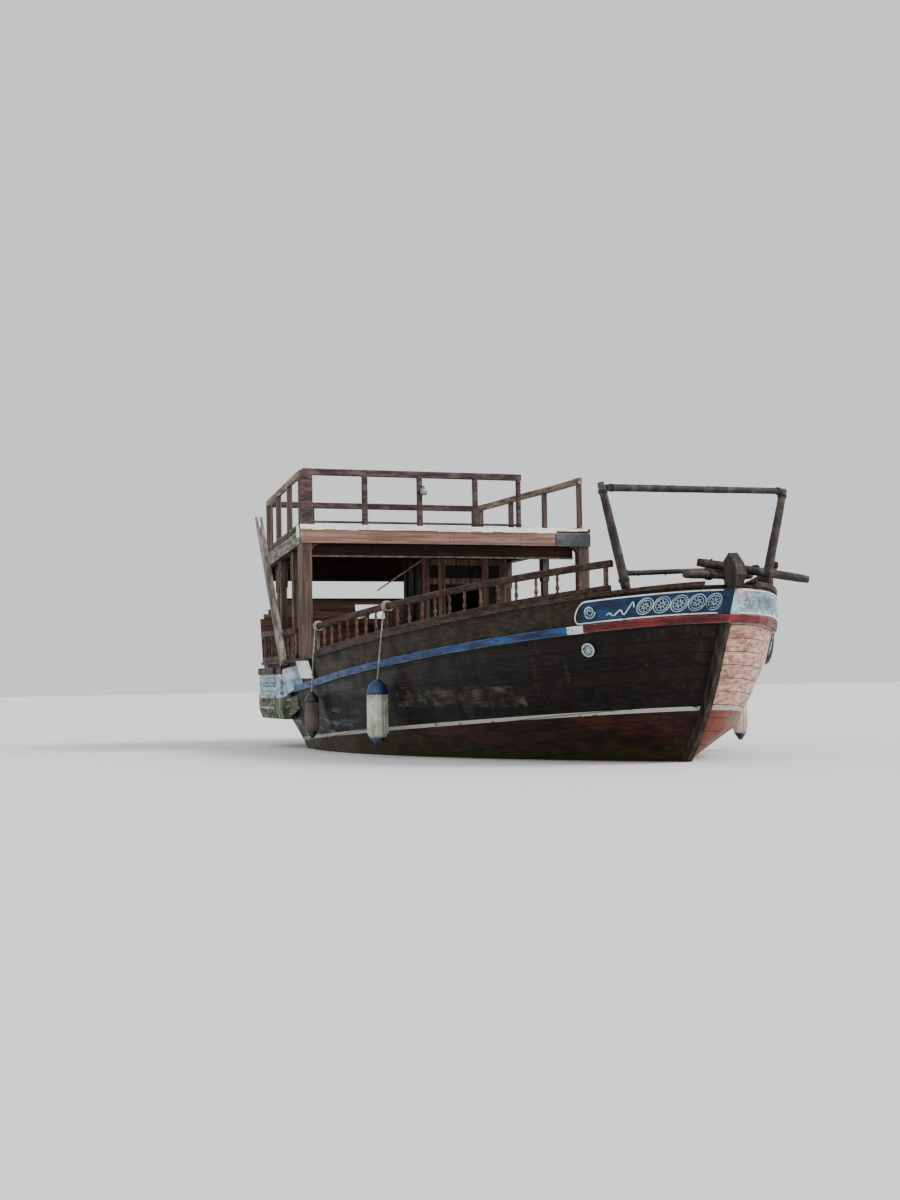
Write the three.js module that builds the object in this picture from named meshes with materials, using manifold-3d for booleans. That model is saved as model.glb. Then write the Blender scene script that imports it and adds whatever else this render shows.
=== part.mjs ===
// A wooden sailing boat of the East African coast, with her mast unstepped, a raised sun deck on
// posts over the stern and a rough pole frame over the bow.
// Millimetres. +X is the bow, +Y is port, +Z is up. The origin is amidships on the water's surface.
import * as THREE from 'three';
import { mergeVertices } from 'three/addons/utils/BufferGeometryUtils.js';
import Module from 'manifold-3d';

const wasm = await Module();
wasm.setup();

// Driving dimensions
const GAP = 0.3;                 // left between touching pieces
const STEM_FOOT_X = 4960;        // where the planking meets the stem at the water
const STERN_FOOT_X = -5407;      // where the stern plane cuts the water
const KEEL_HALF = 65;            // half the width of keel and sternpost, and of the stem at the planks
const STEM_FACE_HALF = 38;
const STEM_DEEP = 100;           // from the ends of the planks to the stem's face
const KEEL_DEPTH = 170;
const HULL_FLOOR_AFT = -950;     // underside of the planking at the stern
const HULL_FLOOR_FORE = -850;    // and at the forefoot
const STERN_RAKE = 0.34;         // aft run of the sternpost for each unit of height
const PLANK = 60;                // bulwark thickness
const DECK_PLANK = 40;
const CAP_WIDTH = 150;
const CAP_THICK = 45;
const STRAKE_DEPTH = 95;         // rub strake
const STRAKE_THICK = 55;
const BOARD_DEPTH = 300;         // carved board each side of the bow
const BALUSTER_PITCH = 317;
const RAIL_ENDS = [-1560, 5235]; // balustrade of the waist and the bow, along the boat
const QUARTER_ENDS = [-5585, -2640];
const RAIL_RISE_AFT = 464;       // top rail over the cap, aft and at the bow
const RAIL_RISE_FORE = 370;
const PARAPET_Z = 2150;          // top of the transom
const SUN_DECK_FRONT_X = -2400;
const SUN_DECK_LENGTH = 3550;
const SUN_DECK_HALF_FRONT = 2500;
const SUN_DECK_HALF_AFT = 2020;
const SUN_DECK_Z = 3477;         // top of the sun deck at its front edge
const SUN_DECK_SLOPE = THREE.MathUtils.degToRad(2.96);
const SUN_RAIL_RISE = 880;

// Colours
function tint(hex, roughness = 0.8, metalness = 0) {
  return new THREE.MeshStandardMaterial({ color: hex, roughness, metalness });
}
const woods = {
  topsides: tint(0x1d1613),
  bulwark: tint(0x3a2c22),
  weathered: tint(0x6b5a52),
  brown: tint(0x7a5850),
  deck: tint(0x8a7461),
  blue: tint(0x1d4d86, 0.6),
  board: tint(0x12355f, 0.6),
  grey: tint(0x5f5a55),
  dark: tint(0x2a2220),
};
const bronze = tint(0xa8854a, 0.4, 0.9);
const iron = tint(0x3c3c3e, 0.6, 0.8);
const vinyl = tint(0xd9dcdc, 0.5);

// Solids
function closedGeometry(points, triangles) {
  const geometry = new THREE.BufferGeometry();
  let volume = 0;
  for (const [a, b, c] of triangles) {
    volume += points[a].dot(points[b].clone().cross(points[c]));
  }
  const index = triangles.flatMap(([a, b, c]) => (volume < 0 ? [a, c, b] : [a, b, c]));
  const positions = points.flatMap((p) => [p.x, p.y, p.z]);
  geometry.setAttribute('position', new THREE.Float32BufferAttribute(positions, 3));
  geometry.setIndex(index);
  return geometry;
}

// Closed rings of equal length, joined in order and capped at both ends. A plane names the two
// axes in which an end ring is seen without crossing itself.
function loft(rings, firstPlane = ['y', 'z'], lastPlane = firstPlane) {
  const n = rings[0].length;
  const points = rings.flat();
  const triangles = [];
  for (let i = 0; i + 1 < rings.length; i += 1) {
    for (let j = 0; j < n; j += 1) {
      const [a, b] = [i * n + j, i * n + ((j + 1) % n)];
      const rising = points[a].distanceTo(points[b + n]) <= points[b].distanceTo(points[a + n]);
      if (rising) triangles.push([a, b, b + n], [a, b + n, a + n]);
      else triangles.push([a, b, a + n], [b, b + n, a + n]);
    }
  }
  const ends = [[rings[0], 0, true, firstPlane], [rings.at(-1), (rings.length - 1) * n, false, lastPlane]];
  for (const [ring, first, flip, plane] of ends) {
    const outline = ring.map((p) => new THREE.Vector2(p[plane[0]], p[plane[1]]));
    const clockwise = THREE.ShapeUtils.isClockWise(outline);
    for (const [a, b, c] of THREE.ShapeUtils.triangulateShape(outline, [])) {
      const same = isTurned(outline[a], outline[b], outline[c]) === clockwise;
      const t = same ? [a, b, c] : [a, c, b];
      triangles.push((flip ? [t[2], t[1], t[0]] : t).map((k) => k + first));
    }
  }
  return closedGeometry(points, triangles);
}

function isTurned(a, b, c) {
  return (b.x - a.x) * (c.y - a.y) - (b.y - a.y) * (c.x - a.x) < 0;
}

function solid(geometry) {
  const bare = geometry.clone();
  for (const name of Object.keys(bare.attributes)) {
    if (name !== 'position') bare.deleteAttribute(name);
  }
  const merged = mergeVertices(bare, 1e-3);
  return new wasm.Manifold(new wasm.Mesh({
    numProp: 3,
    vertProperties: new Float32Array(merged.attributes.position.array),
    triVerts: new Uint32Array(merged.index.array),
  }));
}

function geometryOf(manifold) {
  const { vertProperties, triVerts, numProp } = manifold.getMesh();
  const geometry = new THREE.BufferGeometry();
  const positions = [];
  for (let i = 0; i < vertProperties.length; i += numProp) {
    positions.push(vertProperties[i], vertProperties[i + 1], vertProperties[i + 2]);
  }
  geometry.setAttribute('position', new THREE.Float32BufferAttribute(positions, 3));
  geometry.setIndex(Array.from(triVerts));
  return geometry;
}

const join = (geometries) => geometryOf(geometries.map(solid).reduce((a, b) => a.add(b)));
const cut = (geometry, tools) => (
  geometryOf(tools.map(solid).reduce((a, b) => a.subtract(b), solid(geometry)))
);
const moved = (geometry, x, y, z) => geometry.clone().translate(x, y, z);

function block(x0, x1, y0, y1, z0, z1) {
  const box = new THREE.BoxGeometry(x1 - x0, y1 - y0, z1 - z0);
  return box.translate((x0 + x1) / 2, (y0 + y1) / 2, (z0 + z1) / 2);
}

// A round pole from one point to another, a little thinner at its far end.
function pole(from, to, r0, r1 = r0, sides = 10) {
  const along = to.clone().sub(from);
  const geometry = new THREE.CylinderGeometry(r1, r0, along.length(), sides);
  const turn = new THREE.Quaternion().setFromUnitVectors(at(0, 1, 0), along.clone().normalize());
  const middle = from.clone().add(to).multiplyScalar(0.5);
  return geometry.applyQuaternion(turn).translate(middle.x, middle.y, middle.z);
}

// A round solid about its own Y axis, from radii and heights.
const lathe = (profile, sides) => (
  new THREE.LatheGeometry(profile.map(([r, h]) => new THREE.Vector2(r, h)), sides)
);

const at = (x, y, z) => new THREE.Vector3(x, y, z);
const mirrored = (geometry) => {
  const copy = geometry.clone().scale(1, -1, 1);
  const index = Array.from(copy.index.array);
  for (let i = 0; i < index.length; i += 3) [index[i], index[i + 1]] = [index[i + 1], index[i]];
  copy.setIndex(index);
  return copy;
};

// A smooth curve through a table of places and values that never overshoots them.
function curveThrough(xs, ys) {
  const slopes = xs.slice(1).map((x, i) => (ys[i + 1] - ys[i]) / (x - xs[i]));
  const tangent = xs.map((_, i) => {
    if (i === 0) return slopes[0];
    if (i === xs.length - 1) return slopes.at(-1);
    return slopes[i - 1] * slopes[i] <= 0 ? 0 : (2 * slopes[i - 1] * slopes[i]) / (slopes[i - 1] + slopes[i]);
  });
  return (x) => {
    const i = THREE.MathUtils.clamp(xs.filter((k) => k <= x).length - 1, 0, xs.length - 2);
    const h = xs[i + 1] - xs[i];
    const t = THREE.MathUtils.clamp((x - xs[i]) / h, 0, 1);
    const [a, b] = [t * t * (3 - 2 * t), t * (1 - t)];
    return ys[i] * (1 - a) + ys[i + 1] * a + h * b * ((1 - t) * tangent[i] - t * tangent[i + 1]);
  };
}

// Lines of the hull
const sheer = (x) => {
  const run = x + 2100;
  return 1385 + 0.0915 * (Math.hypot(run, 600) + run) / 2;
};
const strakeTop = (x) => {
  const run = x - 900;
  return sheer(x) - 345 - (run < 0 ? 4.5e-6 : 1.2e-6) * run ** 2;
};
const deckTop = (x) => strakeTop(x) - 40;
const stemX = curveThrough(
  [-850, -600, -250, 0, 270, 650, 1000, 1450, 1620, 2050, 2500],
  [3300, 4150, 4790, STEM_FOOT_X, 5205, 5470, 5655, 5855, 5940, 6135, 6290],
);
const sternX = (z) => STERN_FOOT_X - STERN_RAKE * z;
const hullFloor = (x) => (
  THREE.MathUtils.mapLinear(x, STERN_FOOT_X, STEM_FOOT_X, HULL_FLOOR_AFT, HULL_FLOOR_FORE)
);

// Half-breadths from the stern to the widest section. x is where the section cuts the water.
const WIDEST_X = -1430;
const sections = [
  // x, low, water, middle, strake, cap
  [STERN_FOOT_X, 90, 480, 1520, 1930, 2080],
  [-4800, 130, 1060, 1900, 2190, 2260],
  [-3900, 700, 1880, 2240, 2385, 2400],
  [-2700, 1560, 2260, 2430, 2500, 2515],
  [WIDEST_X, 1880, 2340, 2480, 2545, 2557],
  [WIDEST_X + 400, 1880, 2340, 2480, 2545, 2557],
];
const [LOW_Z, MIDDLE_Z] = [-500, 560];
const column = (k) => sections.map((row) => row[k]);
const breadths = [1, 2, 3, 4, 5].map((k) => curveThrough(column(0), column(k)));
const leanToStem = (s) => Math.max(0, (s - 1100) / (STEM_FOOT_X - 1100)) ** 1.6;
const leanToStern = (s) => Math.max(0, (-3000 - s) / (-3000 - STERN_FOOT_X)) ** 1.5;

// How bluff the bow is at each height: a lower power is a fuller bow.
const bowPower = curveThrough(
  [-850, -500, 0, 110, 300, 600, 1000, 1450, 2050],
  [1.7, 1.5, 1.05, 0.85, 0.64, 0.61, 0.53, 0.5, 0.56],
);

function halfBreadth(s, x, z) {
  const a = Math.min(s, WIDEST_X);
  const levels = [hullFloor(s), LOW_Z, 0, MIDDLE_Z, strakeTop(a), sheer(a)];
  const half = curveThrough(levels, [KEEL_HALF, ...breadths.map((breadth) => breadth(a))])(z);
  if (s <= WIDEST_X) return half;
  const share = THREE.MathUtils.clamp((x - WIDEST_X) / (stemX(z) - WIDEST_X), 0, 1);
  return KEEL_HALF + (half - KEEL_HALF) * (1 - share ** 2) ** bowPower(z);
}

// The point on the port side of the hull at section s and height z, out by a margin.
function side(s, z, out = 0) {
  const x = s + leanToStem(s) * (stemX(z) - stemX(0)) - leanToStern(s) * STERN_RAKE * z;
  const half = halfBreadth(s, x, z);
  if (out === 0) return at(x, half, z);
  const step = 20;
  const [a, b] = [side(Math.max(s - step, STERN_FOOT_X), z), side(Math.min(s + step, STEM_FOOT_X), z)];
  const along = b.sub(a).setZ(0).normalize();
  return at(x - along.y * out, half + along.x * out, z);
}

const STATIONS = [];
for (const [from, to, steps] of [[STERN_FOOT_X, -3900, 4], [-3900, 2100, 8], [2100, 4380, 6]]) {
  for (let i = 0; i < steps; i += 1) STATIONS.push(from + ((to - from) * i) / steps);
}
STATIONS.push(4380, 4620, 4780, 4875, 4930, STEM_FOOT_X);
const between = (from, to) => [from, ...STATIONS.filter((s) => s > from + 15 && s < to - 15), to];
const heightAt = (s, line) => line(side(s, line(s)).x);

// The section whose cap stands at x.
function sectionAt(x) {
  let [low, high] = [STERN_FOOT_X, STEM_FOOT_X];
  for (let i = 0; i < 30; i += 1) {
    const s = (low + high) / 2;
    if (side(s, sheer(x)).x < x) low = s;
    else high = s;
  }
  return low;
}

// A strip that follows the port side between two sections, from the lowest to the highest of its
// levels. Its inner and outer faces are distances out from the hull.
function strip(places, levels, inner, outer) {
  return loft(stripRings(places, levels, inner, outer));
}

function stripRings(places, levels, inner, outer) {
  return places.map((s) => {
    const heights = levels.map((level) => level(s));
    return [...heights.map((z) => side(s, z, outer)), ...heights.reverse().map((z) => side(s, z, inner))];
  });
}

// A strip that goes on round the bow and meets its twin before the stem.
function noseStrip(from, levels, inner, outer) {
  const heights = levels.map((level) => level(STEM_FOOT_X));
  const nose = (z, x) => at(stemX(z) + x, GAP / 2, z);
  const last = [...heights.map((z) => nose(z, 50 + outer)), ...heights.reverse().map((z) => nose(z, 48))];
  return loft([...stripRings(between(from, 4945), levels, inner, outer), last], ['y', 'z'], ['x', 'z']);
}

const deckLine = (s) => heightAt(s, deckTop);
const beamLine = (s) => heightAt(s, deckTop) - DECK_PLANK;      // top of the solid hull
const capLine = (s) => heightAt(s, sheer);
const strakeLine = (s) => heightAt(s, strakeTop);
const wallMiddle = (s) => (beamLine(s) + capLine(s)) / 2;
const above = (line, rise) => (s) => line(s) + rise;

// The planked form up to its last level, as one solid; out makes it a little fuller.
function hullForm(upper, out = 0) {
  return loft(STATIONS.map((s) => {
    const floor = hullFloor(s);
    const below = [floor, floor + 130, LOW_Z, -250, ...[0, 0.25, 0.5, 0.75, 1].map((k) => k * beamLine(s))];
    const heights = [...below, ...upper.map((level) => level(s))];
    const port = heights.map((z) => side(s, z, out));
    return [...port, ...port.map((p) => at(p.x, -p.y, p.z)).reverse()];
  }));
}

const planking = hullForm([]);
const outerForm = hullForm([wallMiddle, capLine], 1);
const belowDeck = moved(hullForm([deckLine]), 0, 0, 1.5);
const WELL = { x0: -1250, x1: -50, half: 420, floor: -420 };   // engine bearers' well

function hullBody() {
  const aperture = block(-5190, -4790, -700, 700, -870, -215);
  return cut(planking, [aperture, block(WELL.x0, WELL.x1, -WELL.half, WELL.half, WELL.floor, 1400)]);
}

const wallLevels = [above(beamLine, 1), wallMiddle, capLine];
const wallRoom = strip(STATIONS, [above(beamLine, -40), ...wallLevels], -PLANK - 1, 60);
const bothRooms = [wallRoom, mirrored(wallRoom)];

function bulwark() {
  const capRoom = strip(STATIONS, [above(capLine, -CAP_THICK - GAP), above(capLine, 100)], -200, 100);
  const stemRoom = block(5700, 6400, -KEEL_HALF - GAP, KEEL_HALF + GAP, 0, 2600);
  const capFoot = moved(capRail(), 0, 0, -GAP);
  const rooms = [moved(planking, 0, 0, GAP), capRoom, capFoot, stemRoom];
  return cut(strip(STATIONS, wallLevels, -PLANK, 0), rooms);
}

function mainDeck() {
  const rings = STATIONS.slice(0, -1).map((s) => {
    const edge = side(s, beamLine(s), -PLANK / 2);
    const [low, top] = [beamLine(s) - 20, deckLine(s)];
    const corners = [[edge.y, low], [edge.y, top], [-edge.y, top], [-edge.y, low]];
    return corners.map(([y, z]) => at(edge.x, y, z));
  });
  const hatch = block(WELL.x0, WELL.x1, -WELL.half, WELL.half, 0, 2000);
  return cut(loft(rings), [moved(planking, 0, 0, GAP), ...bothRooms, hatch]);
}

const WALL_CENTRE = -PLANK / 2;
const capRail = () => strip(
  between(STERN_FOOT_X, 4915),
  [above(capLine, -CAP_THICK), capLine],
  WALL_CENTRE - CAP_WIDTH / 2,
  WALL_CENTRE + CAP_WIDTH / 2,
);
const capRailRoom = moved(capRail(), 0, 0, GAP);

const GALLERY = { from: -4800, to: -3150, floor: 460 };
const rubStrake = () => cut(noseStrip(
  GALLERY.to + 20,
  [above(strakeLine, -STRAKE_DEPTH), strakeLine],
  -20,
  STRAKE_THICK,
), [outerForm, ...stemRooms()]);

const bowBoard = () => cut(noseStrip(
  4165,
  [above(strakeLine, 3), above(strakeLine, BOARD_DEPTH)],
  -20,
  STRAKE_THICK - 15,
), [outerForm, ...stemRooms()]);

// A turned baluster standing on the cap.
function baluster(foot, height) {
  const profile = [
    // radius, share of the height
    [0, -0.06], [26, -0.06], [26, 0.12], [15, 0.24], [30, 0.42],
    [15, 0.62], [26, 0.88], [26, 1.06], [0, 1.06],
  ];
  const shape = profile.map(([r, share]) => [r, share * height]);
  return lathe(shape, 6).rotateX(Math.PI / 2).translate(foot.x, foot.y, foot.z);
}

// A length of balustrade on the cap, between two places along the boat.
function balustrade([from, to]) {
  const rise = (x) => THREE.MathUtils.mapLinear(x, RAIL_ENDS[0], RAIL_ENDS[1], RAIL_RISE_AFT, RAIL_RISE_FORE);
  const [railHalf, railDepth, sillDepth] = [35, 60, 40];
  const railTop = (s) => capLine(s) + rise(side(s, capLine(s)).x);
  const sections = between(sectionAt(from), sectionAt(to));
  const levels = [[above(capLine, -15), above(capLine, sillDepth)], [above(railTop, -railDepth), railTop]];
  const strips = levels.map((pair) => strip(sections, pair, WALL_CENTRE - railHalf, WALL_CENTRE + railHalf));
  const [first, last] = [from + 35, to - 35];
  const count = Math.round((last - first) / BALUSTER_PITCH);
  const posts = [];
  for (let i = 0; i <= count; i += 1) {
    const s = sectionAt(first + ((last - first) * i) / count);
    const foot = side(s, capLine(s), WALL_CENTRE);
    posts.push(baluster(foot.setZ(foot.z + 25), rise(foot.x) - railDepth));
  }
  return cut(join([...strips, ...posts]), [capRailRoom]);
}

// The box built out over the quarter.
function quarterGallery() {
  const out = 130;
  const box = loft(between(GALLERY.from, GALLERY.to).map((s) => {
    const top = capLine(s) - CAP_THICK - 60;
    const wall = side(s, top, out);
    const inner = side(s, GALLERY.floor, -40).y;
    const corners = [
      // breadth, height
      [wall.y - 60, GALLERY.floor], [wall.y, GALLERY.floor + 160], [wall.y, top],
      [inner, top], [inner, GALLERY.floor],
    ];
    return corners.map(([y, z]) => at(wall.x, y, z));
  }));
  return cut(box, [outerForm]);
}

// Stem, keel, sternpost and transom
function slab(outline, half) {
  const rings = [-half, half].map((y) => outline.map(([x, z]) => at(x, y, z)));
  return loft(rings, ['x', 'z']);
}

// The stem narrows towards its face, and is cut back where the strakes and boards meet before it.
function stemPost() {
  const heel = 3300 + GAP;
  const foot = HULL_FLOOR_FORE - KEEL_DEPTH;
  const foreX = (z) => (z < -800 ? heel + 20 : stemX(z) + STEM_DEEP);
  const heights = [-850, -600, -250, 0, 270, 650, 1000, 1450, 1620, 2100];
  const fore = [foot, ...heights].map((z) => [foreX(z), z]);
  const aft = heights.map((z) => [Math.max(stemX(z) - 25, heel), z]);
  const outline = [...fore, ...aft.reverse(), [heel, foot]];
  const halfAt = (i) => (i < fore.length ? STEM_FACE_HALF : KEEL_HALF);
  const faces = [-1, 1].map((sign) => outline.map(([x, z], i) => at(x, sign * halfAt(i), z)));
  const head = slab([[6080, 2040], [6270, 2040], [6380, 2200], [6330, 2330], [6190, 2460], [6070, 2370]], 62);
  const low = strakeLine(STEM_FOOT_X) - STRAKE_DEPTH - 8;
  const high = strakeLine(STEM_FOOT_X) + BOARD_DEPTH + 8;
  const meeting = slab([[stemX(low) + 44, low], [stemX(high) + 44, high], [6600, high], [6600, low]], 200);
  const rooms = [planking, moved(planking, GAP, 0, 0), moved(planking, 0, 0, GAP)];
  return cut(join([cut(loft(faces, ['x', 'z']), [meeting]), head]), rooms);
}

const stemRooms = () => [[GAP, 0], [0, GAP], [0, -GAP]].map(([x, y]) => moved(stemPost(), x, y, 0));

function keel() {
  const places = [-5020, -3000, 0, 3300 - GAP];
  const foot = places.map((x) => [x, hullFloor(x) - KEEL_DEPTH]);
  const underPlanks = (x) => THREE.MathUtils.mapLinear(x, -5020, 3300, -938, -850);
  const head = places.map((x) => [x, Math.min(hullFloor(x), underPlanks(x)) - 4]);
  return slab([...foot, ...head.reverse()], KEEL_HALF);
}

const POST_DEEP = 130;           // sternpost, fore and aft
function sternPost() {
  const [low, high] = [HULL_FLOOR_AFT - KEEL_DEPTH, 2050];
  const corners = [[low, 1], [high, 1], [high, POST_DEEP], [low, POST_DEEP]];
  const post = slab(corners.map(([z, back]) => [sternX(z) - back, z]), KEEL_HALF);
  return join([post, ...GUDGEONS.map(gudgeon)]);
}

// The flat stern, in two halves that meet over the sternpost.
function transomHalf() {
  const levels = [60, 300, 650, 900, 1150];
  const top = capLine(STERN_FOOT_X);
  const outline = [...levels, top].map((z) => [side(STERN_FOOT_X, z).y - 2, z]);
  outline.push([side(STERN_FOOT_X, top).y - 40, PARAPET_Z], [KEEL_HALF + GAP, PARAPET_Z]);
  outline.push([KEEL_HALF + GAP, levels[0]]);
  const faces = [1, 45].map((back) => outline.map(([y, z]) => at(sternX(z) - back, y, z)));
  return loft(faces);
}

// The cap over the sternpost, between the transom's halves.
function sternHead() {
  return slab([[2050 + GAP, 1], [PARAPET_Z, 1], [PARAPET_Z, 45], [2050 + GAP, 45]].map(([z, back]) => (
    [sternX(z) - back, z]
  )), KEEL_HALF);
}

// Sun deck: the platform and its fascia lie in a plane that drops towards the stern.
const sunDeckHalf = (aft) => (
  THREE.MathUtils.mapLinear(aft, 0, SUN_DECK_LENGTH, SUN_DECK_HALF_FRONT, SUN_DECK_HALF_AFT)
);
const sunDeckZ = (x) => SUN_DECK_Z - (SUN_DECK_FRONT_X - x) * Math.tan(SUN_DECK_SLOPE);
const PLATFORM = 60;
const FASCIA_DEPTH = 285;
const FASCIA = 45;

function sunDeck() {
  const outline = (aft0, aft1, inset, z0, z1) => {
    const corners = [[aft0, 1], [aft1, 1], [aft1, -1], [aft0, -1]];
    const ring = (z) => corners.map(([aft, sign]) => {
      const x = SUN_DECK_FRONT_X - aft;
      return at(x, sign * (sunDeckHalf(aft) - inset), sunDeckZ(x) + z);
    });
    return loft([ring(z0), ring(z1)], ['x', 'y']);
  };
  const platform = outline(0, SUN_DECK_LENGTH, 0, -PLATFORM, 0);
  const [outer, inner] = [20, 20 + FASCIA];
  const skirt = cut(outline(outer, SUN_DECK_LENGTH - outer, outer, -FASCIA_DEPTH, -PLATFORM / 2), [
    outline(inner, SUN_DECK_LENGTH - inner, inner, -FASCIA_DEPTH - 50, -PLATFORM / 2 + 10),
  ]);
  const joists = [1180, 2360].map((aft) => outline(aft - 45, aft + 45, 40, -200, -PLATFORM / 2));
  const aftBeam = outline(SUN_DECK_LENGTH - 110, SUN_DECK_LENGTH - 25, 30, -500, -PLATFORM / 2);
  return join([platform, skirt, ...joists, aftBeam]);
}

// A square post with a curved knee on its fore or inner side, cut to the slope of the deck.
function deckPost(x, y, foot, half, kneeY, floor) {
  const head = (px) => sunDeckZ(px) - FASCIA_DEPTH - GAP;
  const corners = [[-half, -half], [half, -half], [half, half], [-half, half]];
  const ring = (level) => corners.map(([a, b]) => at(x + a, y + b, level(x + a)));
  const post = loft([ring(() => foot), ring(head)], ['x', 'y']);
  const reach = 190;
  const arc = Array.from({ length: 6 }, (_, k) => {
    const angle = (Math.PI / 2) * (k / 5);
    return [half - 10 + reach * (1 - Math.cos(angle)), -reach * (1 - Math.sin(angle))];
  });
  const knee = [[half - 10, 0], ...arc];
  const turn = Math.sign(kneeY);
  const sideFaces = [-0.6 * half, 0.6 * half].map((dx) => (
    knee.map(([a, b]) => at(x + dx, y + turn * a, head(x + dx) + b))
  ));
  return cut(join([post, loft(sideFaces, ['y', 'z'])]), [floor, wallRoom]);
}

const POST_PLACES = [
  // name, run aft of the sun deck's front edge, inset from its side, half width
  ['fore', 110, 90, 88],
  ['second', 1180, 130, 50],
  ['third', 2360, 130, 50],
  ['aft', 3200, 225, 50],
];

function addDeckPosts() {
  for (const [name, aft, inset, half] of POST_PLACES) {
    const x = SUN_DECK_FRONT_X - aft;
    const y = sunDeckHalf(aft) - inset;
    const [line, floor] = name === 'fore' ? [sheer, capRailRoom] : [deckTop, belowDeck];
    const post = deckPost(x, y, line(x) - 25, half, -1, floor);
    addBothSides(`deck_post_${name}`, post, woods.brown);
  }
}

// Rails of the sun deck: posts and rails in one plane between two points.
function fence(from, to, shares, postHalf = 45) {
  const along = to.clone().sub(from);
  const foot = (p) => at(p.x, p.y, sunDeckZ(p.x) + GAP);
  const pieces = shares.map((share) => {
    const p = foot(from.clone().addScaledVector(along, share));
    const [low, high] = [p.z + 3, p.z + SUN_RAIL_RISE - 20];
    return block(p.x - postHalf, p.x + postHalf, p.y - postHalf, p.y + postHalf, low, high);
  });
  const across = at(-along.y, along.x, 0).normalize();
  for (const [low, high, half] of [[25, 75, 25], [SUN_RAIL_RISE - 130, SUN_RAIL_RISE, 38]]) {
    const corners = [[half, low], [-half, low], [-half, high], [half, high]];
    const rings = [from, to].map((p) => corners.map(([out, z]) => (
      foot(p).addScaledVector(across, out).add(at(0, 0, z))
    )));
    const plane = Math.abs(along.x) > Math.abs(along.y) ? ['y', 'z'] : ['x', 'z'];
    pieces.push(loft(rings, plane));
  }
  return join(pieces);
}

function addSunDeckRails() {
  const inset = 60;
  const corner = (aft, sign) => at(SUN_DECK_FRONT_X - aft, sign * (sunDeckHalf(aft) - inset), 0);
  const [foreAft, aftAft] = [inset, SUN_DECK_LENGTH - inset];
  const stand = 100;
  const front = corner(foreAft, -1);
  const gate = at(front.x, 1280, 0);
  add('sun_deck_rail_front', fence(front, gate, [0.012, 0.255, 0.51, 0.76, 0.99]), woods.brown);
  for (const [label, sign] of [['port', 1], ['starboard', -1]]) {
    const [from, to] = [corner(foreAft + stand, sign), corner(aftAft - stand, sign)];
    add(`sun_deck_rail_${label}`, fence(from, to, [0.016, 0.34, 0.67, 0.984]), woods.weathered);
  }
  const shares = [0.013, 0.25, 0.5, 0.75, 0.987];
  add('sun_deck_rail_aft', fence(corner(aftAft, -1), corner(aftAft, 1), shares), woods.brown);
}

// Bow: a frame of rough poles and the logs lashed by the stem head
function addBowPoles() {
  const x = 5330;
  const [footHalf, headHalf] = [945, 1238];
  const head = 3222;
  const bar = pole(at(x, -1300, head + 55), at(x, 1310, head + 68), 47, 42);
  const post = pole(at(x, footHalf, sheer(x) - 12), at(x, headHalf, head + 20), 62, 52);
  const rooms = [capRailRoom, mirrored(capRailRoom), moved(bar, 0, 0, -GAP)];
  for (const [label, geometry] of [['port', post], ['starboard', mirrored(post)]]) {
    add(`bow_frame_post_${label}`, cut(geometry, rooms), woods.grey);
  }
  add('bow_frame_bar', bar, woods.grey);
  add('bow_thin_pole', pole(at(x - 110, -940, 2270), at(x - 105, 940, 2345), 36, 30, 8), woods.grey);
  add('bow_log_upper', pole(at(5640, -160, 2385), at(6105, 1075, 2158), 56, 52), woods.grey);
  add('bow_log_lower', pole(at(5800, -420, 2235), at(5560, 620, 2240), 58, 54), woods.grey);
}

// Deck fittings
function addDeckFittings() {
  const casingX = [WELL.x0 - 80, WELL.x1 + 80];
  const lid = deckTop(casingX[1]) + 520;
  const casing = cut(block(casingX[0], casingX[1], -500, 500, lid - 800, lid), [
    belowDeck, block(casingX[0] + 40, casingX[1] - 40, -460, 460, lid - 900, lid - 40),
  ]);
  add('engine', block(-1150, -150, -330, 330, WELL.floor + GAP, 480), iron);
  add('engine_casing', casing, woods.weathered);

  const house = { x0: -4700, x1: -3900, y0: 100, y1: 1630 };
  const floor = deckTop(house.x0) - 30;
  const roof = sunDeckZ(house.x0) - FASCIA_DEPTH - 10;
  const wall = 40;
  add('deckhouse', cut(block(house.x0, house.x1, house.y0, house.y1, floor, roof), [
    belowDeck,
    block(house.x0 + wall, house.x1 - wall, house.y0 + wall, house.y1 - wall, floor - 10, roof - wall),
    block(house.x1 - 100, house.x1 + 100, house.y0 + 420, house.y0 + 1070, floor - 10, floor + 1750),
  ]), woods.dark);

  const beamX = 1400;
  const beamTop = deckTop(beamX) + 330;
  const reach = side(beamX, beamTop, -PLANK / 2).y;
  add('mast_thwart', cut(block(beamX - 110, beamX + 110, -reach, reach, beamTop - 170, beamTop), [
    ...bothRooms,
    new THREE.CylinderGeometry(130, 130, 600, 20).rotateX(Math.PI / 2).translate(beamX + 110, 0, beamTop),
  ]), woods.weathered);
}

const bench = () => cut(strip(
  between(-1300, 1000),
  [above(deckLine, -30), above(deckLine, 310)],
  -PLANK - 480,
  -PLANK / 2,
), [belowDeck, wallRoom]);

// A forked plank on the gallery's roof, lashed outside the starboard quarter rail.
function crutch() {
  const [foot, head] = [at(-3230, -2557, 1300), at(-3950, -2735, 3720)];
  const up = (share) => foot.clone().lerp(head, share);
  const corners = [[-60, -30], [60, -30], [60, 30], [-60, 30]];
  const rings = [up(0), up(1)].map((p) => corners.map(([a, b]) => at(p.x + a, p.y + b, p.z)));
  const plank = loft(rings, ['x', 'y']);
  const notch = new THREE.CylinderGeometry(38, 38, 200, 12).translate(head.x, head.y, head.z);
  return cut(plank, [notch]);
}

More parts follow.
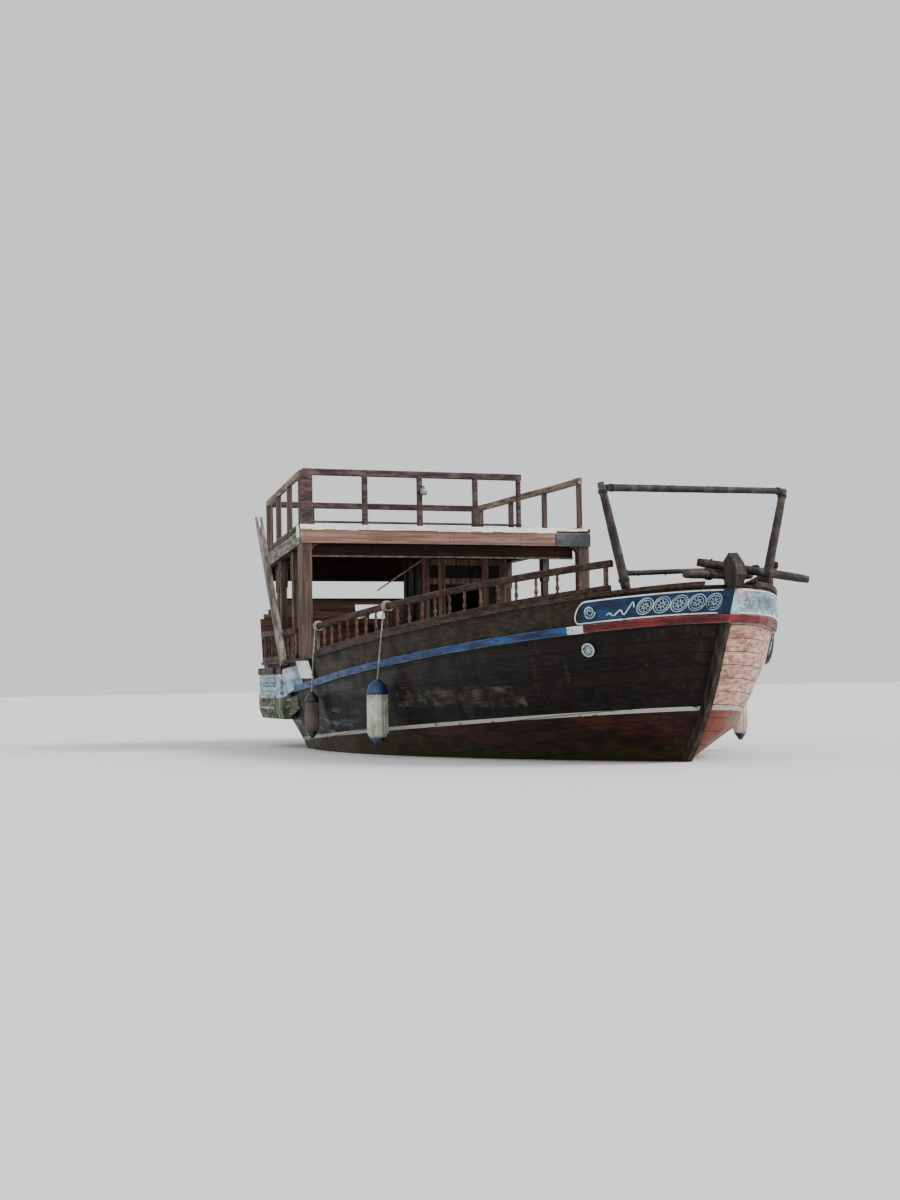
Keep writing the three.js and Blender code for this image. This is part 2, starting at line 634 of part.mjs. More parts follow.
// Fenders on their lanyards
function fender(s, sign, bottom, top, radius) {
  const rail = capLine(s) - 20;
  const wall = side(s, rail, CAP_WIDTH / 2 - PLANK / 2 + 26);
  const y = Math.max(wall.y, side(s, top, radius + 8).y);
  const profile = [
    // radius, height
    [0, bottom], [radius * 0.35, bottom], [radius * 0.5, bottom + 60], [radius, bottom + 130],
    [radius, top - 130], [radius * 0.5, top - 50], [radius * 0.3, top], [0, top],
  ];
  const body = lathe(profile, 14).rotateX(Math.PI / 2).translate(wall.x, y, 0);
  const lanyard = pole(at(wall.x, y, top - 40), wall, 9, 9, 6);
  const both = join([body, lanyard]);
  return sign > 0 ? both : mirrored(both);
}

// Propeller and rudder
const SHAFT = { x: -4790, z: -545 };
function propeller() {
  const hubFore = SHAFT.x - 85;
  const hub = lathe([[0, 0], [62, 0], [62, 110], [34, 165], [0, 175]], 16)
    .rotateZ(Math.PI / 2).translate(hubFore, 0, SHAFT.z);
  const blades = [0, 1, 2].map((k) => {
    const outline = [[-40, 40], [-95, 150], [-80, 250], [0, 285], [80, 250], [95, 150], [40, 40]];
    const faces = [-7, 7].map((t) => outline.map(([a, r]) => at(t + a * 0.55, a * 0.83, r)));
    const turned = loft(faces, ['y', 'z']).translate(hubFore - 58, 0, 0).rotateX((k * 2 * Math.PI) / 3);
    return turned.translate(0, 0, SHAFT.z);
  });
  return join([hub, ...blades]);
}

const sternTube = () => (
  new THREE.CylinderGeometry(55, 68, 70, 16).rotateZ(Math.PI / 2).translate(SHAFT.x - 35 - GAP, 0, SHAFT.z)
);

// The rudder is drawn along its pivot line: a is aft of the line, h is up it.
const PIVOT_OUT = 60;
const tilt = Math.atan(STERN_RAKE);
const PIVOT_FOOT = at(sternX(0) - POST_DEEP - PIVOT_OUT, 0, 0);
const GUDGEONS = [-760, 60, 880, 1700];
const round = (r, length, h, sides = 14) => (
  new THREE.CylinderGeometry(r, r, length, sides).rotateX(Math.PI / 2).translate(0, 0, h)
);
const alongPivot = (geometry) => geometry.rotateY(-tilt).translate(PIVOT_FOOT.x, 0, PIVOT_FOOT.z);

function rudder() {
  const outline = [
    // aft of the leading edge, up the pivot line
    [0, -1150], [-726, -1080], [-766, -560], [-566, 250], [-386, 950], [-266, 1700], [-246, 2330], [0, 2330],
  ];
  const blade = slab(outline, 32);
  const edge = round(34, 3480, 590);
  const notches = GUDGEONS.map((h) => block(-46, 60, -60, 60, h - 45, h + 45));
  const pins = GUDGEONS.map((h) => round(14, 110, h, 12));
  return alongPivot(join([cut(join([blade, edge]), notches), ...pins]));
}

function gudgeon(h) {
  const plate = block(0, PIVOT_OUT, -26, 26, h - 30, h + 30);
  return alongPivot(cut(join([plate, round(32, 60, h)]), [round(17, 90, h)]));
}

const TILLER = { height: 2374.6, reach: 900 };
const tiller = () => alongPivot(join([
  block(-300, 44, -44, 44, TILLER.height - 44, TILLER.height + 44),
  pole(at(30, 0, TILLER.height), at(TILLER.reach, 0, TILLER.height - 0.25 * TILLER.reach), 38, 28),
]));

// Everything in place
const group = new THREE.Group();
function add(name, geometry, material) {
  const mesh = new THREE.Mesh(geometry, material);
  mesh.name = name;
  group.add(mesh);
}

function addBothSides(name, geometry, material) {
  add(`${name}_port`, geometry, material);
  add(`${name}_starboard`, mirrored(geometry), material);
}

add('hull', hullBody(), woods.topsides);
add('keel', keel(), woods.topsides);
add('stem_post', stemPost(), woods.bulwark);
add('stern_post', sternPost(), woods.bulwark);
addBothSides('transom', transomHalf(), woods.brown);
add('stern_head', sternHead(), woods.brown);
add('main_deck', mainDeck(), woods.deck);
addBothSides('bulwark', bulwark(), woods.bulwark);
addBothSides('cap_rail', capRail(), woods.weathered);
addBothSides('rub_strake', rubStrake(), woods.blue);
addBothSides('bow_board', bowBoard(), woods.board);
addBothSides('balustrade', balustrade(RAIL_ENDS), woods.brown);
addBothSides('quarter_rail', balustrade(QUARTER_ENDS), woods.brown);
addBothSides('quarter_gallery', quarterGallery(), woods.blue);
addBothSides('bench', bench(), woods.weathered);
add('sun_deck', sunDeck(), woods.brown);
addDeckPosts();
addSunDeckRails();
addBowPoles();
addDeckFittings();
add('crutch', crutch(), woods.weathered);
add('fender_starboard_fore', fender(1050, -1, 180, 1060, 150), vinyl);
add('fender_starboard_aft', fender(-1480, -1, 210, 900, 110), vinyl);
add('fender_port_fore', fender(2420, 1, 150, 900, 110), vinyl);
add('stern_tube', sternTube(), bronze);
add('propeller', propeller(), bronze);
add('rudder', rudder(), woods.bulwark);
add('tiller', tiller(), woods.grey);

export default group;
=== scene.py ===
import math
import random

import bmesh
import bpy
from mathutils import Matrix, Vector


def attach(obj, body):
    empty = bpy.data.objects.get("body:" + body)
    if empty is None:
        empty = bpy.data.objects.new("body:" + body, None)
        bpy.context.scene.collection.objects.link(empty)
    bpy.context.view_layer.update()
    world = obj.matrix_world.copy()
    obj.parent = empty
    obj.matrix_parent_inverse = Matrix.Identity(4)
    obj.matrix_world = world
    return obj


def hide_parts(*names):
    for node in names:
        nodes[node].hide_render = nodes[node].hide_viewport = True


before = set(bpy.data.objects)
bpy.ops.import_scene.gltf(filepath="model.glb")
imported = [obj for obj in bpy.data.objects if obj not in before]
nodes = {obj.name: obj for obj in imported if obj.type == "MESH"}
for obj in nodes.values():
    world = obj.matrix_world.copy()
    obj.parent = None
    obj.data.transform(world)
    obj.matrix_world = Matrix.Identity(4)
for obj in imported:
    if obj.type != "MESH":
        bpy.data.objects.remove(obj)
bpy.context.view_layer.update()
chance = random.Random(7)
sides = {"port": 1, "starboard": -1}
upward = Vector((0, 0, 1))
print("frame loaded,", len(nodes), "nodes")


# Camera at the photograph's viewing angle

camera = dict(
    place=(24.543, -11.125, 1.054), yaw=0.391, pitch=0.043, roll=-0.017,
    focal=1832.6, imageHeight=1200, sensor=36.0,  # focal length in pixels of the 900 by 1200 image
)


def addCamera(values):
    ahead = Vector((-math.cos(values["yaw"]), math.sin(values["yaw"]), 0))
    right = ahead.cross(upward).normalized()
    look = ahead * math.cos(values["pitch"]) + upward * math.sin(values["pitch"])
    above = right.cross(look)
    tilt = values["roll"]
    across = right * math.cos(tilt) + above * math.sin(tilt)
    head = above * math.cos(tilt) - right * math.sin(tilt)
    data = bpy.data.cameras.new("camera")
    data.sensor_width = values["sensor"]
    data.lens = values["focal"] * values["sensor"] / values["imageHeight"]
    data.clip_end = 500
    made = bpy.data.objects.new("camera", data)
    turned = Matrix((across, head, -look)).transposed().to_4x4()
    made.matrix_world = Matrix.Translation(values["place"]) @ turned
    bpy.context.scene.collection.objects.link(made)
    bpy.context.scene.camera = made


addCamera(camera)
print("camera placed")


# Lines of the hull, in metres, as the model's source has them

hull = dict(sternFoot=-5.407, stemFoot=4.96, widest=-1.43, rake=0.34, keelHalf=0.065, wallMiddle=-0.03)
sectionTable = [
    # place, half-breadths: low, water, middle, strake, cap
    (-5.407, 0.09, 0.48, 1.52, 1.93, 2.08),
    (-4.8, 0.13, 1.06, 1.9, 2.19, 2.26),
    (-3.9, 0.7, 1.88, 2.24, 2.385, 2.4),
    (-2.7, 1.56, 2.26, 2.43, 2.5, 2.515),
    (-1.43, 1.88, 2.34, 2.48, 2.545, 2.557),
    (-1.03, 1.88, 2.34, 2.48, 2.545, 2.557),
]


def curveThrough(places, values):
    slopes = [(values[i + 1] - values[i]) / (places[i + 1] - places[i]) for i in range(len(places) - 1)]
    tangents = [slopes[0]]
    for before, after in zip(slopes, slopes[1:]):
        tangents.append(0 if before * after <= 0 else 2 * before * after / (before + after))
    tangents.append(slopes[-1])

    def value(x):
        i = min(max(sum(1 for k in places if k <= x) - 1, 0), len(places) - 2)
        run = places[i + 1] - places[i]
        t = min(max((x - places[i]) / run, 0), 1)
        a, b = t * t * (3 - 2 * t), t * (1 - t)
        bend = run * b * ((1 - t) * tangents[i] - t * tangents[i + 1])
        return values[i] * (1 - a) + values[i + 1] * a + bend
    return value


stations = [row[0] for row in sectionTable]
breadths = [curveThrough(stations, [row[k] for row in sectionTable]) for k in range(1, 6)]
stemX = curveThrough(
    [-0.85, -0.6, -0.25, 0, 0.27, 0.65, 1.0, 1.45, 1.62, 2.05, 2.5],
    [3.3, 4.15, 4.79, 4.96, 5.205, 5.47, 5.655, 5.855, 5.94, 6.135, 6.29],
)
bowPower = curveThrough(
    [-0.85, -0.5, 0, 0.11, 0.3, 0.6, 1.0, 1.45, 2.05],
    [1.7, 1.5, 1.05, 0.85, 0.64, 0.61, 0.53, 0.5, 0.56],
)


def sheer(x):
    return 1.385 + 0.0915 * (math.hypot(x + 2.1, 0.6) + x + 2.1) / 2


def strakeTop(x):
    run = x - 0.9
    return sheer(x) - 0.345 - (0.0045 if run < 0 else 0.0012) * run ** 2


def deckTop(x):
    return strakeTop(x) - 0.04


def halfBreadth(s, x, z):
    a = min(s, hull["widest"])
    floor = -0.95 + 0.1 * (s - hull["sternFoot"]) / (hull["stemFoot"] - hull["sternFoot"])
    levels = [floor, -0.5, 0, 0.56, strakeTop(a), sheer(a)]
    half = curveThrough(levels, [hull["keelHalf"]] + [breadth(a) for breadth in breadths])(z)
    if s <= hull["widest"]:
        return half
    share = min(max((x - hull["widest"]) / (stemX(z) - hull["widest"]), 0), 1)
    return hull["keelHalf"] + (half - hull["keelHalf"]) * (1 - share ** 2) ** bowPower(z)


def hullSide(s, z, out=0.0, side=1):  # the hull's face at section s and height z, out by a margin
    toStem = max(0, (s - 1.1) / 3.86) ** 1.6 * (stemX(z) - stemX(0))
    x = s + toStem - max(0, (-3 - s) / 2.407) ** 1.5 * hull["rake"] * z
    half = halfBreadth(s, x, z)
    if out:
        a = hullSide(max(s - 0.02, hull["sternFoot"]), z)
        b = hullSide(min(s + 0.02, hull["stemFoot"]), z)
        along = Vector((b.x - a.x, b.y - a.y)).normalized()
        x, half = x - along.y * out, half + along.x * out
    return Vector((x, side * half, z))


def heightAt(s, level):
    return level(hullSide(s, level(s)).x)


def capLine(s):
    return heightAt(s, sheer)


def deckLine(s):
    return heightAt(s, deckTop)


def strakeLine(s):
    return heightAt(s, strakeTop)


def sectionAt(x, level=sheer):
    low, high = hull["sternFoot"], hull["stemFoot"]
    for _ in range(24):
        s = (low + high) / 2
        if hullSide(s, level(x)).x < x:
            low = s
        else:
            high = s
    return low


def onHull(s, z, out, side):  # a frame on the hull's face: x along the boat, y outwards, z up the face
    reach = 0.03
    along = (hullSide(s + reach, z, 0, side) - hullSide(s - reach, z, 0, side)).normalized()
    rise = hullSide(s, z + reach, 0, side) - hullSide(s, z - reach, 0, side)
    outward = rise.cross(along).normalized() * side
    place = hullSide(s, z, 0, side) + outward * out
    return Matrix.Translation(place) @ Matrix((along, outward, along.cross(outward))).transposed().to_4x4()


def sternX(z):
    return hull["sternFoot"] - hull["rake"] * z


# Shapes

def frameAt(place, along, up=upward, size=1.0):
    along = Vector(along).normalized()
    across = Vector(up).cross(along).normalized()
    turned = Matrix((along, across, along.cross(across))).transposed().to_4x4()
    return Matrix.Translation(place) @ turned @ Matrix.Diagonal((1, size, size, 1))


def sweep(bm, frames, profile, slot=0):  # a profile drawn across the first frame and carried along the rest
    ring = [bm.verts.new(frames[0] @ Vector((0, a, b))) for a, b in profile]
    edges = [bm.edges.new((ring[i - 1], ring[i])) for i in range(len(ring))]
    ends, faces = [edges], []
    for before, after in zip(frames, frames[1:]):
        made = bmesh.ops.extrude_edge_only(bm, edges=edges)["geom"]
        fresh = {v for v in made if isinstance(v, bmesh.types.BMVert)}
        faces += [f for f in made if isinstance(f, bmesh.types.BMFace)]
        edges = [e for e in made if isinstance(e, bmesh.types.BMEdge) and set(e.verts) <= fresh]
        bmesh.ops.transform(bm, matrix=after @ before.inverted(), verts=list(fresh))
    for end in ends + [edges]:
        faces += bmesh.ops.edgeloop_fill(bm, edges=end)["faces"]
    for face in faces:
        face.material_index = slot


def circle(radius=1.0, steps=8):
    turns = [2 * math.pi * k / steps for k in range(steps)]
    return [(radius * math.cos(t), radius * math.sin(t)) for t in turns]


def roundedBar(width, depth, corner):
    w, d, c = width / 2, depth / 2, corner
    half = [(w - c, -d), (w, -d + c), (w, d - c), (w - c, d)]
    return half + [(-a, -b) for a, b in half]


def pathFrames(path, radii=None, up=upward):
    frames = []
    for i, place in enumerate(path):
        along = path[min(i + 1, len(path) - 1)] - path[max(i - 1, 0)]
        frames.append(frameAt(place, along, up, radii[i] if radii else 1.0))
    return frames


def lathe(bm, profile, place=None, steps=14, slot=0):  # (radius, height) spun about the frame's upright axis
    verts = [bm.verts.new((r, 0, h)) for r, h in profile]
    edges = [bm.edges.new(pair) for pair in zip(verts, verts[1:])]
    before = set(bm.faces)
    bmesh.ops.spin(
        bm, geom=verts + edges, cent=(0, 0, 0), axis=(0, 0, 1),
        angle=2 * math.pi, steps=steps, use_merge=True,
    )
    faces = set(bm.faces) - before
    fresh = list({v for f in faces for v in f.verts})
    bmesh.ops.transform(bm, matrix=place or Matrix.Identity(4), verts=fresh)
    for face in faces:
        face.material_index = slot
        face.smooth = True
    bmesh.ops.remove_doubles(bm, verts=fresh, dist=1e-5)


def block(bm, matrix, bevel=0.004, slot=0):  # a unit cube in a frame, with its arrises taken off
    made = bmesh.ops.create_cube(bm, size=1, matrix=matrix)["verts"]
    for face in {f for v in made for f in v.link_faces}:
        face.material_index = slot
    if bevel:
        edges = list({e for v in made for e in v.link_edges})
        bmesh.ops.bevel(
            bm, geom=edges, offset=bevel, segments=1, profile=0.5,
            affect="EDGES", material=-1, clamp_overlap=True,
        )


def plank(bm, start, end, width, depth, bevel=0.004, slot=0, up=upward):
    start, end = Vector(start), Vector(end)
    size = Matrix.Diagonal(((end - start).length, width, depth, 1))
    block(bm, frameAt((start + end) / 2, end - start, up) @ size, bevel, slot)


def standing(bm, x, y, low, high, width, depth, bevel=0.004, slot=0):  # width along the boat, depth across it
    size = Matrix.Diagonal((width, depth, high - low, 1))
    block(bm, Matrix.Translation((x, y, (low + high) / 2)) @ size, bevel, slot)


def boltHead(bm, place, radius=0.012, slot=0):  # a domed head standing on the frame's upright axis
    dome = [(0, -0.004), (radius, -0.004), (radius * 0.9, 0.003), (radius * 0.5, 0.007), (0, 0.008)]
    lathe(bm, dome, place, 8, slot)


def whipping(bm, centre, axis, radius, turns, thickness, slot=0, steps=12):  # rope wound round a pole
    base = frameAt(centre, axis)
    path = []
    for k in range(turns * steps + 1):
        angle = 2 * math.pi * k / steps
        run = (k / steps - turns / 2) * thickness * 1.9
        path.append(base @ Vector((run, radius * math.cos(angle), radius * math.sin(angle))))
    sweep(bm, pathFrames(path, up=Vector(axis)), circle(thickness, 6), slot)


def roughPole(bm, start, end, first, last, bend=0.0, slot=0, steps=16):  # a barked pole, never quite straight
    start, end = Vector(start), Vector(end)
    across = (end - start).cross(upward).normalized()
    if across.length < 0.5:
        across = Vector((1, 0, 0))
    path, radii = [], []
    for k in range(steps + 1):
        t = k / steps
        sway = bend * math.sin(math.pi * t) + bend * 0.35 * math.sin(3.1 * math.pi * t)
        path.append(start.lerp(end, t) + across * sway)
        radii.append((first + (last - first) * t) * chance.uniform(0.93, 1.0))
    radii[0] *= 0.88
    radii[-1] *= 0.85
    sweep(bm, pathFrames(path, radii), circle(1.0, 12), slot)


def piece(name, bm, materials, body="boat", replaces=(), smooth=False):
    bmesh.ops.recalc_face_normals(bm, faces=bm.faces)
    mesh = bpy.data.meshes.new(name)
    if smooth:
        for face in bm.faces:
            face.smooth = True
    bm.to_mesh(mesh)
    bm.free()
    for material in materials:
        mesh.materials.append(material)
    made = bpy.data.objects.new(name, mesh)
    bpy.context.scene.collection.objects.link(made)
    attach(made, body)
    if replaces:
        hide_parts(*replaces)
    return made


# Materials

def hexColour(text):
    channels = [int(text[i:i + 2], 16) / 255 for i in (1, 3, 5)]
    return [c / 12.92 if c <= 0.04045 else ((c + 0.055) / 1.055) ** 2.4 for c in channels] + [1.0]


def addNode(material, kind, inputs=None, out=0, **settings):
    tree = material.node_tree
    node = tree.nodes.new("ShaderNode" + kind)
    for name, value in settings.items():
        setattr(node, name, value)
    for socket, value in (inputs or {}).items():
        if isinstance(value, bpy.types.NodeSocket):
            tree.links.new(value, node.inputs[socket])
        else:
            node.inputs[socket].default_value = hexColour(value) if isinstance(value, str) else value
    return node.outputs[out]


def newMaterial(name, **shader):
    material = bpy.data.materials.new(name)
    material.use_nodes = True
    principled = material.node_tree.nodes["Principled BSDF"]
    for socket, value in shader.items():
        entry = principled.inputs[socket.replace("_", " ")]
        entry.default_value = hexColour(value) if isinstance(value, str) else value
    return material


def surface(material, colour, height=None, depth=0.002, gloss=None):
    # Puts the colour, the relief (its depth in metres) and the varying roughness on the shader.
    shader = material.node_tree.nodes["Principled BSDF"]
    material.node_tree.links.new(colour, shader.inputs["Base Color"])
    if height is not None:
        relief = addNode(material, "Bump", {"Height": height, "Distance": depth, "Strength": 0.8})
        material.node_tree.links.new(relief, shader.inputs["Normal"])
    if gloss is not None:
        low, high = gloss
        patchy = patches(material, (300, 300, 300), 0.3, 0.7, place=(6, 6, 6))
        rough = addNode(material, "MapRange", {"Value": patchy, "To Min": low, "To Max": high})
        material.node_tree.links.new(rough, shader.inputs["Roughness"])


def patches(material, size, low=0.45, high=0.6, place=(0, 0, 0), detail=5.0):
    # Blotches of a size in millimetres: 0 outside, 1 inside.
    where = addNode(material, "TexCoord", out=3)
    scale = [1000 / s for s in size]
    grid = addNode(material, "Mapping", {"Vector": where, "Scale": scale, "Location": place})
    cloud = addNode(material, "TexNoise", {"Vector": grid, "Scale": 1.0, "Detail": detail, "Roughness": 0.65})
    limits = {"From Min": low, "From Max": high}
    return addNode(material, "MapRange", {"Value": cloud, **limits}, interpolation_type="SMOOTHSTEP")


def grained(material, size, tones, place=(0, 0, 0)):
    # Colour through three tones along a grain of a size in millimetres, and the grain as a height.
    fibre = patches(material, size, 0.2, 0.8, place, detail=8.0)
    ramp = addNode(material, "ValToRGB", {"Fac": fibre})
    elements = ramp.node.color_ramp.elements
    elements.new(0.5)
    for element, spot, tone in zip(elements, (0.25, 0.5, 0.75), tones):
        element.position = spot
        element.color = hexColour(tone)
    return ramp, fibre


def over(material, under, layer, *shares):
    # A layer of colour over what is under it, where all its shares are.
    share = shares[0]
    for other in shares[1:]:
        share = addNode(material, "Math", {0: share, 1: other}, operation="MULTIPLY")
    return addNode(material, "Mix", {0: share, 6: under, 7: layer}, out=2, data_type="RGBA")


def arrises(material, radius=0.01):
    # 1 along the corners of a solid, where hands and ropes rub, and 0 on its faces.
    soft = addNode(material, "Bevel", {"Radius": radius}, samples=4)
    true = addNode(material, "NewGeometry", out=1)
    turn = addNode(material, "VectorMath", {0: soft, 1: true}, out=1, operation="DOT_PRODUCT")
    return addNode(material, "MapRange", {"Value": turn, "From Min": 0.985, "From Max": 0.82})


def seams(material, along, across, length, width, gap=3):
    # Rows of planks by two coordinates, in millimetres: a shade for each plank, and the seams.
    place = addNode(material, "CombineXYZ", {0: along, 1: across})
    rows = addNode(material, "TexBrick", {
        "Vector": place, "Color1": "#000000", "Color2": "#ffffff", "Mortar": "#808080", "Scale": 1.0,
        "Mortar Size": gap / 1000, "Mortar Smooth": 0.3,
        "Brick Width": length / 1000, "Row Height": width / 1000,
    }, offset=0.37, offset_frequency=2)
    return addNode(material, "RGBToBW", {0: rows}), rows.node.outputs[1]


def timber(
    name, tones, grain=(800, 40, 40), gloss=(0.5, 0.75), worn=None, wornShare=0.8,
    planks=None, dirt="#241b16",
):
    # Sawn wood: long grain, drying cracks, stains, pale arrises, and seams where planks says so.
    material = newMaterial(name, Specular_IOR_Level=0.2)
    colour, fibre = grained(material, grain, tones)
    stains = patches(material, [g * 9 for g in grain], 0.5, 0.75, (3, 1, 2))
    colour = over(material, colour, dirt, stains, 0.5)
    cracks = patches(material, [g * 0.45 for g in grain], 0.64, 0.7, (7, 7, 7), 2.0)
    colour = over(material, colour, dirt, cracks, 0.7)
    height = addNode(material, "Math", {0: fibre, 1: cracks}, operation="SUBTRACT")
    if planks:
        along, across, length, width = planks
        axes = addNode(material, "SeparateXYZ", {0: addNode(material, "TexCoord", out=3)}).node.outputs
        shade, gap = seams(material, axes["XYZ".index(along)], axes["XYZ".index(across)], length, width)
        colour = over(material, colour, tones[0], shade, 0.4)
        colour = over(material, colour, "#0d0907", gap)
        height = addNode(material, "Math", {0: gap, 1: -2.5, 2: height}, operation="MULTIPLY_ADD")
    if worn:
        rubbed = patches(material, (110, 110, 110), 0.35, 0.6, (1, 5, 2))
        colour = over(material, colour, worn, arrises(material), rubbed, wornShare)
    surface(material, colour, height, 0.003, gloss)
    return material


def painted(name, tones, under, chips=0.5, gloss=(0.35, 0.6), size=(700, 700, 300)):
    # Brushed oil paint on wood: faded in patches, chipped to the wood, streaked by rain.
    material = newMaterial(name, Specular_IOR_Level=0.3)
    colour, wander = grained(material, size, tones)
    edge = addNode(material, "Math", {0: arrises(material), 1: 0.14}, operation="MULTIPLY")
    flake = patches(material, (90, 90, 60), 0.2, 0.8, (5, 0, 0), 9.0)
    flake = addNode(material, "Math", {0: flake, 1: edge})
    limits = {"From Min": 0.84 - 0.2 * chips, "From Max": 0.88 - 0.2 * chips}
    chip = addNode(material, "MapRange", {"Value": flake, **limits})
    colour = over(material, colour, under, chip)
    streaks = patches(material, (140, 140, 1300), 0.5, 0.8, (1, 2, 3))
    colour = over(material, colour, "#2a2119", streaks, 0.3)
    height = addNode(material, "Math", {0: wander, 1: chip}, operation="SUBTRACT")
    surface(material, colour, height, 0.0015, gloss)
    return material


def hullFinish():
    # Oiled planks, with painted sunlight making them pale pink on the port bow, over a white boot-top line
    # and weedy red-brown bottom paint, which the painted sunlight also lightens on the port bow.
    material = newMaterial("oiledHullPlanksSunlitPortBow", Specular_IOR_Level=0.12)
    axes = addNode(material, "SeparateXYZ", {0: addNode(material, "TexCoord", out=3)}).node.outputs
    x, y, z = axes[0], axes[1], axes[2]
    run = addNode(material, "Math", {0: x, 1: 2.1})
    arc = addNode(material, "Math", {0: run, 1: run, 2: 0.36}, operation="MULTIPLY_ADD")
    arc = addNode(material, "Math", {0: arc}, operation="SQRT")
    rise = addNode(material, "Math", {0: arc, 1: run})
    level = addNode(material, "Math", {0: rise, 1: -0.04575, 2: z}, operation="MULTIPLY_ADD")
    shade, gap = seams(material, x, level, 3100, 150, 5)
    oiled, fibre = grained(material, (1100, 120, 42), ["#070505", "#0f0b0a", "#1c1512"])
    # painted sunlight: pale pinkish tones for the sunlit port bow, laid on by the port and bow masks below
    sunlitPortTones = grained(material, (900, 120, 42), ["#8f6658", "#b58c7c", "#cfaa9a"])[0]
    sunOnPort = addNode(material, "MapRange", {"Value": y, "From Min": 0.0, "From Max": 0.08})
    sunTowardBow = addNode(material, "MapRange", {"Value": x, "From Min": 0.8, "From Max": 3.4})
    blotch = patches(material, (500, 500, 260), 0.28, 0.5, (2, 4, 0))
    colour = over(material, oiled, "#241a15", shade, 0.35)
    colour = over(material, colour, sunlitPortTones, sunOnPort, sunTowardBow, blotch)
    streaks = patches(material, (170, 170, 1900), 0.55, 0.8, (0, 0, 8))
    colour = over(material, colour, "#8a7f76", streaks, 0.12)
    low = addNode(material, "MapRange", {"Value": z, "From Min": 0.8, "From Max": 0.35})
    aft = addNode(material, "MapRange", {"Value": x, "From Min": 0.4, "From Max": -1.4})
    scuffs = patches(material, (600, 600, 130), 0.52, 0.6, (9, 0, 0), 8.0)
    colour = over(material, colour, "#7f939f", scuffs, low, aft, 0.6)
    smudge = patches(material, (240, 240, 130), 0.42, 0.75, (1, 9, 3), 9.0)
    nearTop = addNode(material, "Math", {0: z, 1: 0.82, 2: 0.13}, operation="COMPARE")
    amidships = addNode(material, "Math", {0: x, 1: 2.5, 2: 1.3}, operation="COMPARE")
    colour = over(material, colour, "#6f6a62", smudge, nearTop, amidships, 0.5)
    spots = patches(material, (45, 45, 45), 0.66, 0.7, (2, 2, 2), 3.0)
    colour = over(material, colour, "#45342a", spots, 0.6)
    line = addNode(material, "Math", {0: x, 1: -0.0585, 2: z}, operation="MULTIPLY_ADD")
    bottom = grained(material, (700, 300, 110), ["#190b09", "#2a1310", "#3c1c16"])[0]
    tufts = patches(material, (300, 300, 150), 0.2, 0.8, (4, 4, 4))
    weedEdge = addNode(material, "Math", {0: tufts, 1: 0.3, 2: z}, operation="MULTIPLY_ADD")
    weed = addNode(material, "MapRange", {"Value": weedEdge, "From Min": 0.42, "From Max": 0.2})
    bottom = over(material, bottom, "#37371a", weed, 0.7)
    # painted sunlight: the bottom paint lightened on the sunlit port bow
    bottom = over(material, bottom, "#8a4b38", sunOnPort, sunTowardBow, 0.6)
    above = addNode(material, "MapRange", {"Value": line, "From Min": 0.330, "From Max": 0.336})
    colour = over(material, bottom, colour, above)
    band = addNode(material, "Math", {0: line, 1: 0.333, 2: 0.024}, operation="COMPARE")
    colour = over(material, colour, "#a3a39b", band, patches(material, (160, 160, 50), 0.32, 0.42))
    colour = over(material, colour, "#090605", gap, 0.8)
    height = addNode(material, "Math", {0: gap, 1: -2.0, 2: fibre}, operation="MULTIPLY_ADD")
    surface(material, colour, height, 0.006, (0.3, 0.55))
    return material


def strakeFinish():
    # Oil paint in three lengths: blue aft, a blank white block, red to the stem, and rubbed edges.
    material = newMaterial("rubbedStrakePaint", Specular_IOR_Level=0.25)
    axes = addNode(material, "SeparateXYZ", {0: addNode(material, "TexCoord", out=3)}).node.outputs
    blue, wander = grained(material, (500, 500, 90), ["#091c38", "#0f3362", "#1d4c82"])
    red = grained(material, (500, 500, 90), ["#380d0d", "#5c1616", "#7a261f"])[0]
    white = grained(material, (300, 300, 90), ["#b9bcb8", "#d6d8d4", "#e9eae5"])[0]
    colour = blue
    for paint, start in ((white, 4.755), (red, 4.958)):
        ahead = addNode(material, "Math", {0: axes[0], 1: start}, operation="GREATER_THAN")
        colour = over(material, colour, paint, ahead)
    flake = patches(material, (120, 120, 40), 0.57, 0.62, (5, 0, 0), 9.0)
    colour = over(material, colour, "#3a2a22", flake)
    rubbed = patches(material, (200, 200, 200), 0.35, 0.6)
    colour = over(material, colour, "#8297a6", arrises(material, 0.014), rubbed, 0.7)
    height = addNode(material, "Math", {0: wander, 1: flake}, operation="SUBTRACT")
    surface(material, colour, height, 0.002, (0.3, 0.55))
    return material


def bowBoardFinish():
    # One blue paint in a shaded copy and a sunlit copy: painted shade makes it deep blue on the starboard
    # board, and painted sunlight makes it paler on the port board, where it also peels to the wood.
    material = newMaterial("carvedBoardPaintSunAndShade", Specular_IOR_Level=0.25)
    axes = addNode(material, "SeparateXYZ", {0: addNode(material, "TexCoord", out=3)}).node.outputs
    # painted shade: the deep blue of the shaded starboard board
    deep, wander = grained(material, (300, 300, 120), ["#06182f", "#0b2747", "#14395e"])
    # painted sunlight: the same blue, paler, for the sunlit port board
    light = grained(material, (300, 300, 120), ["#76a9bd", "#9cc4d6", "#c0dce6"])[0]
    peeled = patches(material, (100, 100, 60), 0.5, 0.55, (5, 0, 0), 9.0)
    light = over(material, light, "#b08a74", peeled)
    chip = patches(material, (70, 70, 50), 0.62, 0.66, (8, 0, 0), 9.0)
    deep = over(material, deep, "#4a3a30", chip)
    # this mask puts the painted sunlight copy on the port board and the painted shade copy on the starboard
    # board
    port = addNode(material, "Math", {0: axes[1], 1: 0.0}, operation="GREATER_THAN")
    height = addNode(material, "Math", {0: wander, 1: chip}, operation="SUBTRACT")
    surface(material, over(material, deep, light, port), height, 0.002, (0.4, 0.6))
    return material


